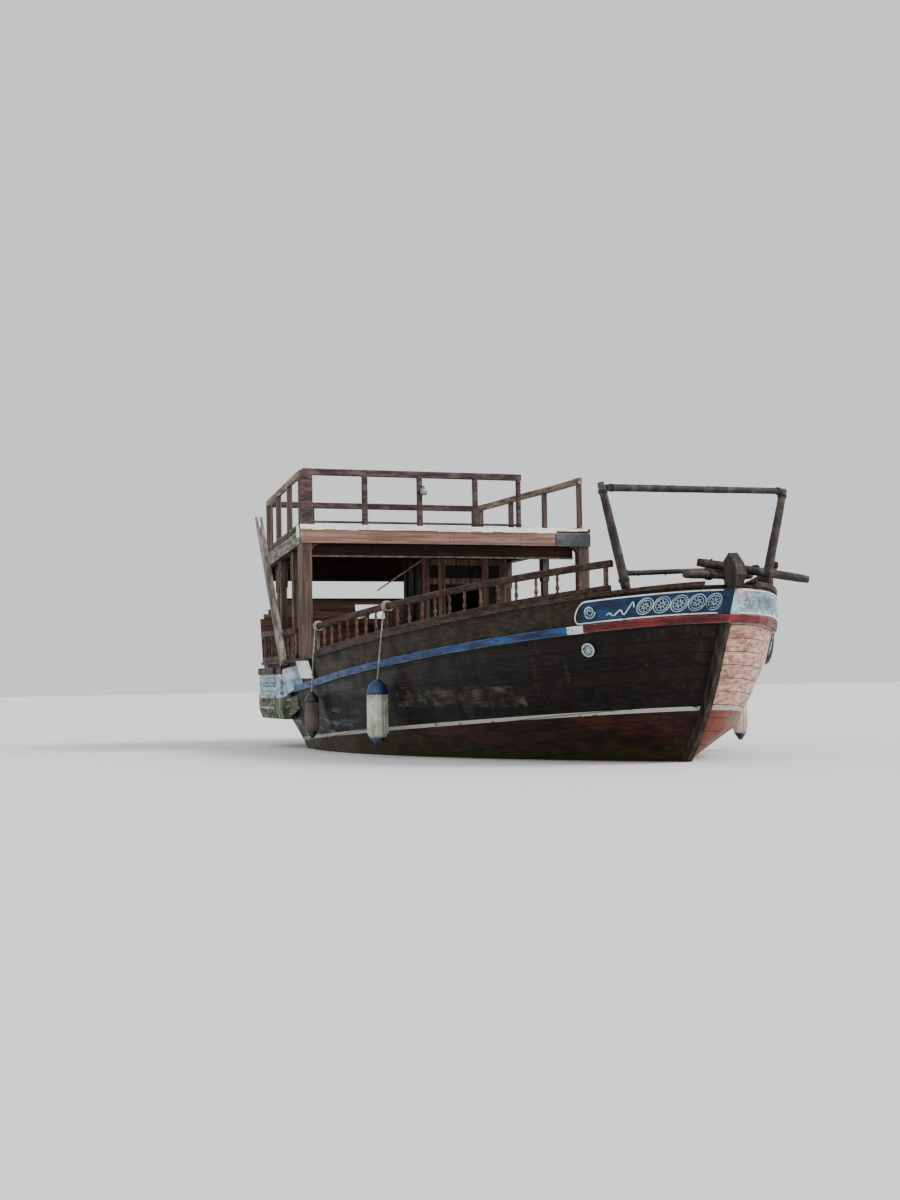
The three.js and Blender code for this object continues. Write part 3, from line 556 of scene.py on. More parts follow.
def galleryFinish():
    # From the top: a dark band, pale blue panels, and bare greenish planks that stay wet.
    material = newMaterial("galleryPlankPaint", Specular_IOR_Level=0.25)
    axes = addNode(material, "SeparateXYZ", {0: addNode(material, "TexCoord", out=3)}).node.outputs
    pale, wander = grained(material, (260, 260, 90), ["#6f8a99", "#9db6c4", "#c6d4da"])
    wet = grained(material, (90, 90, 700), ["#2f382e", "#55614f", "#8a8f78"])[0]
    dark = grained(material, (500, 60, 60), ["#1c1413", "#33211f", "#4d3430"])[0]
    chip = patches(material, (90, 90, 60), 0.55, 0.6, (5, 0, 0), 9.0)
    pale = over(material, pale, "#5d5348", chip)
    colour = wet
    for finish, foot in ((pale, 0.8), (dark, 1.17)):
        above = addNode(material, "Math", {0: axes[2], 1: foot}, operation="GREATER_THAN")
        colour = over(material, colour, finish, above)
    streaks = patches(material, (130, 130, 600), 0.5, 0.75, (1, 2, 3))
    colour = over(material, colour, "#1a1512", streaks, 0.5)
    height = addNode(material, "Math", {0: wander, 1: chip}, operation="SUBTRACT")
    surface(material, colour, height, 0.002, (0.45, 0.7))
    return material


def metal(name, tones, stain, share=0.7, gloss=(0.35, 0.6)):
    # Cast or forged metal: dull and pitted, with rust or verdigris in patches.
    material = newMaterial(name, Metallic=0.9)
    colour, pits = grained(material, (25, 25, 25), tones)
    colour = over(material, colour, stain, patches(material, (120, 120, 120), 0.42, 0.6, detail=8.0), share)
    surface(material, colour, pits, 0.001, gloss)
    return material


def rope(name, tones, strand=16):
    # Laid rope: slanted strands of a width in millimetres, fuzzy and matt.
    material = newMaterial(name, Roughness=0.92)
    where = addNode(material, "TexCoord", out=3)
    slanted = addNode(material, "Mapping", {"Vector": where, "Rotation": (0.6, 0.5, 0.7)})
    lay = addNode(material, "TexWave", {
        "Vector": slanted, "Scale": 320 / strand, "Distortion": 1.5, "Detail": 2.0,
    }, out=1)
    colour = grained(material, (60, 60, 60), tones)[0]
    surface(material, over(material, tones[0], colour, lay), lay, 0.003)
    return material


def vinylSkin(name, tones, dirt):
    # Moulded vinyl: satin, with grime run down it and rub marks.
    material = newMaterial(name, IOR=1.5)
    colour = grained(material, (350, 350, 350), tones)[0]
    streak = patches(material, (70, 70, 900), 0.46, 0.66, detail=7.0)
    colour = over(material, colour, dirt, streak, 0.8)
    surface(material, colour, streak, 0.0008, (0.3, 0.5))
    return material


woods = dict(
    bulwark=timber("oiledBulwarkTeak", ["#17110c", "#261d15", "#362a1d"], worn="#6b5946", wornShare=0.5),
    cap=timber("darkenedCapTeak", ["#1c1411", "#2e221c", "#46362d"], worn="#92806b", wornShare=0.75),
    brown=timber(
        "varnishedRailTeak", ["#1c110f", "#2f1f1b", "#463128"],
        grain=(500, 50, 50), worn="#6c574b", wornShare=0.6,
    ),
    turned=timber(
        "turnedBalusterTeak", ["#32231d", "#4a362e", "#655044"],
        grain=(60, 60, 240), worn="#a89480",
    ),
    rail=timber(
        "sunDeckRailTeak", ["#2f2221", "#463635", "#5f4b49"],
        grain=(260, 260, 60), worn="#82706a", wornShare=0.6,
    ),
    post=timber("fadedPostTeak", ["#39302b", "#4f4039", "#665048"], grain=(60, 60, 900), worn="#978379"),
    pale=timber("bleachedRailWood", ["#4f463a", "#6f6353", "#91836d"], grain=(700, 50, 50), worn="#b8aa93"),
    parapet=timber(
        "plainParapetBoards", ["#5d4740", "#75594f", "#8b6d62"],
        grain=(60, 1200, 70), worn="#9a8072",
    ),
    driftwood=timber(
        "weatheredCrutchPlank", ["#5b5550", "#7f7771", "#a59b93"],
        grain=(70, 70, 900), worn="#c2b8ae",
    ),
    deck=timber(
        "scrubbedDeckPlanks", ["#6b5848", "#84705d", "#9d8872"],
        grain=(1400, 45, 45), planks=("X", "Y", 2400, 115),
    ),
    grey=timber("barkedPoleWood", ["#231e1c", "#362f2c", "#4f4743"], grain=(200, 200, 300), dirt="#171311"),
    stem=timber("stemIronwood", ["#1c1713", "#2d2620", "#413830"], grain=(70, 70, 800)),
    fascia=timber(
        "sunburntFasciaBoards", ["#664a40", "#7d5e52", "#93756a"],
        grain=(60, 1300, 60), worn="#ab9186",
    ),
    sideFascia=timber(
        "mouldyFasciaBoards", ["#3c3d34", "#5f6052", "#8b8a78"],
        grain=(900, 50, 45), worn="#a3a08c",
    ),
    beam=timber(
        "stainedDeckBeams", ["#180c0a", "#2b1613", "#3e221c"],
        grain=(80, 900, 50), planks=("X", "Y", 1800, 140),
    ),
    # painted shade: these deckhouse boards are made near-black for the shadow under the sun deck
    house=timber(
        "houseBoardsPaintedShade", ["#0f0a09", "#1a1210", "#2a1d19"],
        grain=(60, 60, 900), planks=("Z", "Y", 4000, 140),
    ),
    pilaster=timber(
        "pinkPilasterBoards", ["#4b342e", "#684c44", "#84675d"],
        grain=(60, 60, 800), worn="#a89086",
    ),
    bench=timber("wornBenchSlats", ["#5d4b3f", "#7f6a59", "#a18a75"], grain=(900, 50, 50), worn="#c3ac93"),
    transom=timber(
        "oiledSternPlanks", ["#422c26", "#62463d", "#7f5e53"],
        grain=(60, 900, 50), planks=("Y", "Z", 2600, 170),
    ),
    rudder=timber("tarredRudderPlanks", ["#18120f", "#2a2019", "#3f3226"], grain=(60, 60, 900)),
    tiller=timber(
        "handWornTillerAsh", ["#6a5240", "#8f7358", "#b0957a"],
        grain=(700, 45, 45), worn="#c9b496",
    ),
)
paints = dict(
    white=painted("chalkyWhitePaint", ["#bfc0ba", "#dcdcd6", "#ecece8"], "#7a6b5c", chips=0.4),
    ornament=painted("carvingPaint", ["#7391a0", "#9ab6c1", "#bccfd6"], "#4f4a44", chips=0.3),
    flashing=painted("raggedFlashingPaint", ["#cfcfc8", "#e6e6e0", "#f2f2ee"], "#8d8278", chips=0.2),
    gallery=painted("carvedPanelPaint", ["#5a7484", "#87a2b2", "#b4c8d2"], "#4a4238"),
    endBlock=painted("greyEndBlockPaint", ["#2e3335", "#474d4f", "#63696a"], "#2a2220"),
    engine=painted("engineEnamel", ["#3a4a40", "#4a5a50", "#5c6c60"], "#5a3a28"),
)
metals = dict(
    bronze=metal("castBronze", ["#6d5229", "#8f6e3c", "#b08d52"], "#4d6650"),
    iron=metal("forgedIron", ["#2c2a29", "#4a4644", "#686462"], "#6b3d26"),
    lamp=metal("paintedLampTin", ["#77797a", "#96999a", "#b2b5b6"], "#5a4a40", 0.4),
)
ropes = dict(
    hemp=rope("hempRope", ["#3f372a", "#5c513f", "#7a6e58"]),
    dark=rope("tarredRope", ["#171310", "#302a24", "#4a4138"]),
    white=rope("nylonRope", ["#6c6c66", "#9a9b94", "#c4c4be"]),
)
vinyls = dict(
    white=vinylSkin("streakedWhiteVinyl", ["#858371", "#a5a697", "#c4c7c0"], "#6b6550"),
    blue=vinylSkin("blueCapVinyl", ["#0d2046", "#14305e", "#1e4478"], "#1b222b"),
    grey=vinylSkin("grimyFenderVinyl", ["#3a322c", "#564c43", "#6e6359"], "#2a241f"),
    dark=vinylSkin("tarStainedVinyl", ["#171717", "#262524", "#3a3734"], "#14110f"),
    navy=vinylSkin("navyCapVinyl", ["#101a30", "#18264a", "#24365e"], "#20242c"),
    pink=vinylSkin("ribbedPinkVinyl", ["#c9a79c", "#dcc2b8", "#ead8d0"], "#93705f"),
    tyre=vinylSkin("scuffedTyreRubber", ["#0f0f10", "#1b1b1c", "#2d2c2c"], "#3a332c"),
)
print("materials made")


# Finishes of the nodes that are shown as they are

def dress(prefix, material):
    for name, node in nodes.items():
        if name.startswith(prefix):
            node.data.materials.clear()
            node.data.materials.append(material)


dress("", woods["brown"])
for prefix, material in {
    "hull": hullFinish(), "bulwark": woods["bulwark"], "cap_rail": woods["cap"],
    "rub_strake": strakeFinish(), "bow_board": bowBoardFinish(), "quarter_gallery": galleryFinish(),
    "main_deck": woods["deck"], "stem_post": woods["stem"], "stern_post": woods["rudder"],
    "keel": woods["rudder"], "transom": woods["transom"], "stern_head": woods["transom"],
    "bench": woods["bench"], "mast_thwart": woods["bench"], "engine": paints["engine"],
    "engine_casing": woods["bench"], "deckhouse": woods["house"], "sun_deck": woods["beam"],
    "deck_post": woods["post"], "rudder": woods["rudder"], "tiller": woods["tiller"],
    "stern_tube": metals["bronze"], "propeller": metals["bronze"],
}.items():
    dress(prefix, material)
print("nodes dressed")


# Balustrades on the cap

balustrades = dict(
    waist=(-1.56, 5.235), quarter=(-5.585, -2.64), pitch=0.317, riseAft=0.464, riseFore=0.37, railWidth=0.08,
    railDepth=0.085, sillDepth=0.075, steps=12, endPost=0.05, endInset=0.035, sunk=0.006,
    profile=[
        # radius, share of the height
        (0.0, 0.0), (0.024, 0.0), (0.024, 0.06), (0.014, 0.085), (0.012, 0.11), (0.02, 0.18),
        (0.027, 0.27), (0.022, 0.37), (0.013, 0.47), (0.019, 0.5), (0.013, 0.53), (0.019, 0.64),
        (0.024, 0.74), (0.018, 0.84), (0.012, 0.9), (0.023, 0.93), (0.023, 1.0), (0.0, 1.0),
    ],
)


def railRise(x):
    share = (x - balustrades["waist"][0]) / (balustrades["waist"][1] - balustrades["waist"][0])
    return balustrades["riseAft"] + (balustrades["riseFore"] - balustrades["riseAft"]) * share


def wallFrames(first, last, level, out, side, step=0.3):
    count = max(2, int((last - first) / step))
    places = [first + (last - first) * k / count for k in range(count + 1)]
    return pathFrames([hullSide(s, level(s), out, side) for s in places])


def addBalustrade(name, ends, side, values):
    bm = bmesh.new()
    first, last = sectionAt(ends[0]), sectionAt(ends[1])
    middle, inset, sunk = hull["wallMiddle"], values["endInset"], values["sunk"]

    def sillMiddle(s):
        return capLine(s) + values["sillDepth"] / 2 + 0.001

    def railMiddle(s):
        return capLine(s) + railRise(hullSide(s, capLine(s)).x) - values["railDepth"] / 2

    for level, depth, corner in ((sillMiddle, "sillDepth", 0.01), (railMiddle, "railDepth", 0.016)):
        frames = wallFrames(first, last, level, middle, side)
        sweep(bm, frames, roundedBar(values["railWidth"], values[depth], corner))
    run = ends[1] - ends[0] - 2 * inset
    count = round(run / values["pitch"])
    for k in range(count + 1):
        s = sectionAt(ends[0] + inset + run * k / count)
        foot = hullSide(s, capLine(s), middle, side)
        low = values["sillDepth"] - sunk
        tall = railRise(foot.x) - values["railDepth"] + sunk - low
        if k in (0, count):
            half = values["endPost"]
            standing(bm, foot.x, foot.y, foot.z + low, foot.z + low + tall, half, half, 0.006, 1)
        else:
            shape = [(r * chance.uniform(0.93, 1.07), low + share * tall) for r, share in values["profile"]]
            lathe(bm, shape, Matrix.Translation(foot), values["steps"], 1)
    piece("turned_" + name, bm, [woods["brown"], woods["turned"]], replaces=[name])


for label, side in sides.items():
    addBalustrade(f"balustrade_{label}", balustrades["waist"], side, balustrades)
    addBalustrade(f"quarter_rail_{label}", balustrades["quarter"], side, balustrades)
print("balustrades turned")


# Sun deck: fascia boards, flashing, beams and rails

sunDeck = dict(
    frontX=-2.4, length=3.55, halfFront=2.5, halfAft=2.02, top=3.477, slope=math.radians(2.96),
    fascia=(-0.285, -0.062), recess=0.02, board=0.017, flashing=0.083, flashingSteps=26, nailPitch=0.45,
    nailRows=(-0.07, 0.06), endBlock=0.62, beamAft=0.23, beamFoot=-0.475, bearerUp=-0.17,
    bearers=((0.08, 1.12), (1.24, 2.3), (2.42, 3.42)), railTop=0.88, railDepth=0.105,
    toeRail=(0.035, 0.07), postFoot=0.004, postDepth=0.08,
)
frontPosts = [
    # y, half width
    (-2.372, 0.092), (-1.413, 0.04), (-0.489, 0.038), (0.471, 0.038), (1.235, 0.032),
]


def deckHalf(aft):
    return sunDeck["halfFront"] + (sunDeck["halfAft"] - sunDeck["halfFront"]) * aft / sunDeck["length"]


def deckPoint(aft, y, up):
    return Vector((sunDeck["frontX"] - aft, y, sunDeck["top"] - aft * math.tan(sunDeck["slope"]) + up))


def nailed(bm, start, end, inward, slot):  # two rows of nail heads along a board's face
    count = max(2, int((end - start).length / sunDeck["nailPitch"]))
    for k in range(count + 1):
        for up in sunDeck["nailRows"]:
            place = start.lerp(end, (k + 0.12) / (count + 0.24)) + upward * up
            boltHead(bm, frameAt(place, upward.cross(inward), -inward), 0.008, slot)


def addFascia(values):
    bm = bmesh.new()
    low, high = values["fascia"]
    middle, depth = (low + high) / 2, high - low
    inset = values["recess"] - values["board"] / 2 + 0.001
    aftEnd = values["length"] - inset
    runs = [
        # ends of a row of boards: aft and side, then how many boards, their material and which way is in
        ((inset, -1), (inset, 1), 4, 0, Vector((-1, 0, 0))),
        ((aftEnd, -1), (aftEnd, 1), 3, 0, Vector((1, 0, 0))),
        ((inset, 1), (aftEnd, 1), 2, 1, Vector((0, -1, 0))),
        ((inset, -1), (aftEnd, -1), 2, 1, Vector((0, 1, 0))),
    ]
    for (aft0, side0), (aft1, side1), count, slot, inward in runs:
        start = deckPoint(aft0, side0 * (deckHalf(aft0) - inset), middle)
        end = deckPoint(aft1, side1 * (deckHalf(aft1) - inset), middle)
        for k in range(count):
            a, b = start.lerp(end, (k + 0.0015) / count), start.lerp(end, (k + 0.9985) / count)
            lift = upward * chance.uniform(-0.003, 0.003)
            plank(bm, a + lift, b + lift, values["board"], depth - 0.004, 0.003, slot)
            nailed(bm, a - inward * values["board"] / 2, b - inward * values["board"] / 2, inward, 2)
    block0 = deckPoint(-0.006, deckHalf(0) - values["endBlock"], middle - 0.01)
    plank(bm, block0, block0 + Vector((0, values["endBlock"] - 0.004, 0)), 0.014, depth - 0.01, 0.003, 3)
    piece("fascia_boards", bm, [woods["fascia"], woods["sideFascia"], metals["iron"], paints["endBlock"]])


def addFlashing(values):  # painted tin along the front edge and the starboard corner, its lower edge ragged
    bm = bmesh.new()
    steps, width = values["flashingSteps"], 2 * deckHalf(0) - 0.05
    for k in range(steps):
        deep = values["flashing"] * chance.uniform(0.86, 1.04) * (0.55 if k > 22 else 1)
        spots = [-deckHalf(0) + width * run / steps for run in (k, k + 1.02)]
        a, b = (deckPoint(-0.003, y, 0.004 - deep / 2) for y in spots)
        plank(bm, a, b, 0.005, deep, 0)
    corner = deckPoint(0.1, -deckHalf(0.1) - 0.003, -0.09)
    plank(bm, corner + Vector((0.1, 0.014, 0)), corner - Vector((0.12, 0, 0)), 0.004, 0.19, 0)
    piece("deck_edge_flashing", bm, [paints["flashing"]])


def addDeckBeams(values):
    bm = bmesh.new()
    aft, foot, top = values["beamAft"], values["beamFoot"], values["fascia"][1]
    half = deckHalf(aft) - 0.2
    beams = [
        # run aft, height, width, depth, bevel, material
        (aft, (foot + top) / 2, 0.06, top - foot, 0.005, 0),
        (aft - 0.036, foot + 0.012, 0.012, 0.022, 0.002, 1),
    ]
    for run, up, *shape in beams:
        plank(bm, deckPoint(run, -half, up), deckPoint(run, half, up), *shape)
    for side in sides.values():  # bearers over the post heads, fore and aft
        for ends in values["bearers"]:
            a, b = (deckPoint(run, side * (deckHalf(run) - 0.13), values["bearerUp"]) for run in ends)
            plank(bm, a, b, 0.08, 0.22, 0.004)
    piece("deck_beams", bm, [woods["beam"], woods["pale"]])


def addRail(name, start, end, posts, materials, sag=0.0, sway=0.0):
    # Posts are given by their share of the way and half width.
    bm = bmesh.new()
    values = sunDeck
    top, depth, toe = values["railTop"], values["railDepth"], values["toeRail"]
    for share, half in posts:
        foot = start.lerp(end, share)
        across = abs(end.y - start.y) > abs(end.x - start.x)
        size = (values["postDepth"], 2 * half) if across else (2 * half, values["postDepth"])
        standing(bm, foot.x, foot.y, foot.z + values["postFoot"], foot.z + top - 0.06, *size, 0.008, 1)
    for low, deep, width in ((top - depth, depth, 0.075), (toe[0], toe[1] - toe[0], 0.045)):
        path = []
        for k in range(13):
            drop = sag * math.sin(math.pi * k / 12) + sway * math.sin(2.7 * math.pi * k / 12)
            path.append(start.lerp(end, k / 12) + upward * (low + deep / 2 - drop))
        sweep(bm, pathFrames(path), roundedBar(width, deep, 0.012), 0)
    piece("weathered_" + name, bm, materials, replaces=[name])


def addSunDeckRails():
    inset, stand = 0.06, 0.1
    ends = (inset, sunDeck["length"] - inset)
    corner = {side: [deckPoint(aft, side * (deckHalf(aft) - inset), 0) for aft in ends] for side in (1, -1)}
    start = corner[-1][0]
    end = deckPoint(inset, 1.28, 0)
    shares = [((y - start.y) / (end.y - start.y), half) for y, half in frontPosts]
    addRail("sun_deck_rail_front", start, end, shares, [woods["rail"], woods["rail"]])
    for label, side in sides.items():
        a = deckPoint(ends[0] + stand, side * (deckHalf(ends[0] + stand) - inset), 0)
        b = deckPoint(ends[1] - stand, side * (deckHalf(ends[1] - stand) - inset), 0)
        posts = [(share, 0.038) for share in (0.016, 0.34, 0.67, 0.984)]
        slack = (0.012, 0.006) if side > 0 else ()  # the port rail sags
        addRail(f"sun_deck_rail_{label}", a, b, posts, [woods["pale"], woods["post"]], *slack)
    posts = [(share, 0.038) for share in (0.013, 0.205, 0.456, 0.722, 0.987)]
    addRail("sun_deck_rail_aft", corner[-1][1], corner[1][1], posts, [woods["rail"], woods["rail"]])


railLamp = dict(
    y=-0.45, out=0.09, bracket=0.64,
    profile=[(0, 0.5), (0.05, 0.5), (0.056, 0.515), (0.056, 0.6), (0.03, 0.625), (0, 0.63)],
)


def addLamp(values):  # a tin lamp on a bracket, under the top rail
    bm = bmesh.new()
    out, up = values["out"], values["bracket"]
    place = deckPoint(0.06, values["y"], 0) + Vector((out, 0, 0))
    lathe(bm, values["profile"], Matrix.Translation(place), 16)
    plank(bm, place + Vector((-out, 0, up)), place + Vector((0.03, 0, up)), 0.03, 0.014, 0.003)
    piece("rail_lamp", bm, [metals["lamp"]])


addFascia(sunDeck)
addFlashing(sunDeck)
addDeckBeams(sunDeck)
addSunDeckRails()
addLamp(railLamp)
print("sun deck built")


# Posts under the sun deck

deckPosts = [
    # run aft of the deck's front edge, inset from its side, half width, half width of the block at its head
    (1.18, 0.13, 0.05, 0.062), (2.36, 0.13, 0.05, 0.062), (3.2, 0.225, 0.05, 0.062),
]
postHeads = dict(
    top=-0.287, cheek=0.45, drops=(0.12, 0.34), bolt=0.014,
    foreAft=0.11, foreInset=0.09, foreTop=-0.285, foreFace=0.088, foreDrops=(0.1, 0.3, 0.55), foreBolt=0.015,
)


def addPostHeads(values):
    bm = bmesh.new()
    for aft, inset, half, head in deckPosts:
        thick = head - half
        for side in sides.values():
            top = deckPoint(aft, side * (deckHalf(aft) - inset), values["top"])
            for facing in (-1, 1):  # cheeks bolted fore and aft of the post
                x = top.x + facing * (half + thick)
                standing(bm, x, top.y, top.z - values["cheek"], top.z - 0.004, 2 * thick, 2 * head, 0.005, 0)
                for drop in values["drops"]:
                    place = Vector((x + facing * thick, top.y, top.z - drop))
                    boltHead(bm, frameAt(place, (0, 1, 0), (facing, 0, 0)), values["bolt"], 1)
    aft = values["foreAft"]
    for side in sides.values():  # bolts through the fore posts
        top = deckPoint(aft, side * (deckHalf(aft) - values["foreInset"]), values["foreTop"])
        for drop in values["foreDrops"]:
            place = Vector((top.x + values["foreFace"], top.y, top.z - drop))
            boltHead(bm, frameAt(place, (0, 1, 0), (1, 0, 0)), values["foreBolt"], 1)
    piece("post_cheeks", bm, [woods["post"], metals["iron"]])


addPostHeads(postHeads)
print("posts bolted")


# Poles over the bow

bowFrame = dict(
    x=5.33, footHalf=0.945, headHalf=1.238, head=3.242, postFoot=0.062, postHead=0.05,
    bar=(0.047, 0.04), barEnds=(-1.195, 1.29),
)


def polePiece(name, bm):
    finish = [woods["grey"], ropes["dark"]]
    piece("barked_" + name, bm, finish, replaces=[name], smooth=True)


def addBowFrame(values):
    x, head = values["x"], values["head"]
    foot = sheer(x) - 0.006
    for label, side in sides.items():
        bm = bmesh.new()
        rise = 0.1 if side < 0 else 0.04
        slope = (values["headHalf"] - values["footHalf"]) / (head - foot)
        top = head + rise
        end = Vector((x, side * (values["footHalf"] + slope * (top - foot)), top))
        start = Vector((x, side * values["footHalf"], foot))
        roughPole(bm, start, end, values["postFoot"], values["postHead"], 0.008 * side)
        high = 0.91 if side < 0 else 0.96
        for share, radius in ((0.1, values["postFoot"] + 0.001), (high, values["postHead"] + 0.002)):
            whipping(bm, start.lerp(end, share), end - start, radius, 4, 0.006, 1)
        polePiece(f"bow_frame_post_{label}", bm)
    bm = bmesh.new()
    left, right = values["barEnds"]
    start, end = Vector((x, left, head + 0.035)), Vector((x, right, head + 0.05))
    roughPole(bm, start, end, *values["bar"], 0.014, steps=22)
    for share in (0.03, 0.955):
        whipping(bm, start.lerp(end, share), end - start, 0.044, 4, 0.006, 1)
    polePiece("bow_frame_bar", bm)


logs = [
    # node, from, to, first and last radius, bend
    ("bow_thin_pole", (5.22, -0.94, 2.27), (5.225, 0.94, 2.345), 0.034, 0.028, 0.006),
    ("bow_log_upper", (5.64, -0.16, 2.385), (6.105, 1.075, 2.158), 0.056, 0.052, 0.01),
    ("bow_log_lower", (5.8, -0.42, 2.235), (5.56, 0.62, 2.24), 0.058, 0.054, 0.006),
]


def addLogs():
    for name, start, end, first, last, bend in logs:
        bm = bmesh.new()
        start, end = Vector(start), Vector(end)
        roughPole(bm, start, end, first, last, bend, steps=14)
        for k in range(5):  # stubs of cut branches
            place = start.lerp(end, 0.12 + 0.19 * k)
            turn = frameAt(place, end - start) @ Matrix.Rotation(chance.uniform(0, 6), 4, "X")
            lathe(bm, [(0, 0), (first * 0.35, 0), (first * 0.28, first + 0.007), (0, first + 0.009)], turn, 8)
        for share in ((0.35, 0.62) if "log" in name else (0.02, 0.98)):
            whipping(bm, start.lerp(end, share), end - start, first + 0.004, 4, 0.009, 1)
        polePiece(name, bm)


addBowFrame(bowFrame)
addLogs()
print("bow poles lashed")


# Carving on the bow boards, and the discs below them

bowCarving = dict(
    proud=0.0445, border=0.016, first=4.19, last=5.0, edges=(0.02, 0.282), middle=0.15,
    rosettes=(4.655, 0.196, 5), ring=0.094, innerRing=0.74, petal=(0.012, 0.034, 0.056),
    scroll=4.25, scrollReach=0.082, wave=(4.4, 4.585), disc=(4.29, 1.37), discRadius=0.085,
)


def addCarving(label, side, values):
    bm = bmesh.new()
    places = [values["first"] + (values["last"] - values["first"]) * k / 16 for k in range(17)]
    for up in values["edges"]:
        path = [hullSide(s, strakeLine(s) + up, values["proud"], side) for s in places]
        sweep(bm, pathFrames(path), roundedBar(0.012, values["border"], 0.003), 0)
    end = []
    for k in range(9):  # the border's rounded aft end
        angle = math.pi / 2 + math.pi * k / 8
        s = values["first"] + 0.06 * math.cos(angle)
        end.append(hullSide(s, strakeLine(s) + 0.151 + 0.131 * math.sin(angle), values["proud"], side))
    sweep(bm, pathFrames(end, up=Vector((0.3, side, 0))), roundedBar(values["border"], 0.012, 0.003), 0)
    first, pitch, count = values["rosettes"]
    walk = [(first - 0.2, 0.0)]  # sections and the length along the board to each
    while walk[-1][0] < 4.995:
        s, length = walk[-1]
        walk.append((s + 0.0025, length + (hullSide(s + 0.0025, 1.8) - hullSide(s, 1.8)).length))

    def sectionAfter(length):
        for (s0, low), (s1, high) in zip(walk, walk[1:]):
            if length <= high:
                break
        return s0 + (s1 - s0) * (length - low) / (high - low)

    start = next(length for s, length in walk if s >= first)
    pitch = min(pitch, (walk[-1][1] - start - values["ring"] - 0.02) / (count - 1))
    for k in range(count):
        centre = start + pitch * k
        level = strakeLine(sectionAfter(centre)) + values["middle"]

        def spot(along, up):
            return hullSide(sectionAfter(centre + along), level + up, values["proud"], side)

        # two raised rings round a flower
        for r, thick in ((values["ring"], 0.0065), (values["ring"] * values["innerRing"], 0.005)):
            path = [spot(r * math.cos(math.pi * k / 12), r * math.sin(math.pi * k / 12)) for k in range(25)]
            sweep(bm, pathFrames(path, up=Vector((0.5, side, 0))), circle(thick, 5), 1)
        for k in range(8):
            turn = math.pi * k / 4
            path = [spot(r * math.cos(turn), r * math.sin(turn)) for r in values["petal"]]
            sweep(bm, pathFrames(path, [0.5, 1.5, 0.5], up=Vector((0.5, side, 0))), circle(0.0055, 5), 1)
    scroll = onHull(values["scroll"], strakeLine(values["scroll"]) + values["middle"], values["proud"], side)
    path = []
    for k in range(37):
        angle, reach = 2 * math.pi * k / 18, values["scrollReach"] * (1 - k / 44)
        path.append(scroll @ Vector((reach * math.cos(angle), 0, reach * math.sin(angle))))
    sweep(bm, pathFrames(path, up=scroll.to_3x3() @ Vector((0, 1, 0))), circle(0.011, 6), 1)
    path = []
    low, high = values["wave"]
    for k in range(25):
        s, t = low + (high - low) * k / 24, k / 24
        swing = (0.018 + 0.075 * t ** 3) * math.sin(5 * math.pi * k / 24)
        level = strakeLine(s) + 0.09 + swing + 0.06 * t ** 2
        path.append(hullSide(s, level, values["proud"], side))
    sweep(bm, pathFrames(path, up=Vector((0.3, side, 0))), circle(0.01, 6), 1)
    piece(f"board_carving_{label}", bm, [paints["white"], paints["ornament"]])


def addEyeDisc(label, side, values):
    bm = bmesh.new()
    s, z = values["disc"]
    at = onHull(s, z, -0.012, side) @ Matrix.Rotation(-math.pi / 2, 4, "X")
    r = values["discRadius"]
    lathe(bm, [(0, 0), (r - 0.004, 0), (r - 0.004, 0.02), (0, 0.02)], at, 28, 0)
    lathe(bm, [(r - 0.016, 0.014), (r, 0.014), (r, 0.026), (r - 0.016, 0.026), (r - 0.016, 0.014)], at, 28, 1)
    lathe(bm, [(0, 0.018), (0.014, 0.018), (0.011, 0.03), (0, 0.033)], at, 14, 1)
    for k in range(4):  # an eight-pointed star
        spoke = at @ Matrix.Rotation(math.pi * k / 4, 4, "Z") @ Matrix.Translation((0, 0, 0.021))
        block(bm, spoke @ Matrix.Diagonal((2 * r - 0.06, 0.007, 0.007, 1)), 0.001, 1)
    piece(f"eye_disc_{label}", bm, [paints["endBlock"], paints["ornament"]])


for label, side in sides.items():
    addCarving(label, side, bowCarving)
    addEyeDisc(label, side, bowCarving)
print("boards carved")


# Fenders, and a tyre on the port bow

fenders = [
    # node, section, side, foot, top, radius, vinyl of the body and of the ends, depth of the top end
    ("fender_starboard_fore", 1.05, -1, 0.18, 1.06, 0.15, "white", "blue", 0.2),
    ("fender_starboard_aft", -1.48, -1, 0.21, 0.9, 0.11, "grey", "dark", 0.16),
    ("fender_port_fore", 2.42, 1, 0.15, 0.9, 0.11, "pink", "navy", 0.17),
]


def overCap(s, side, x=None):  # where a lanyard bends over the cap's edge and where it reaches the rail
    edge = hullSide(s, capLine(s) - 0.01, 0.058, side)
    rise = railRise(edge.x if x is None else x)
    return edge, hullSide(s, capLine(s) + rise - 0.03, 0.022, side)


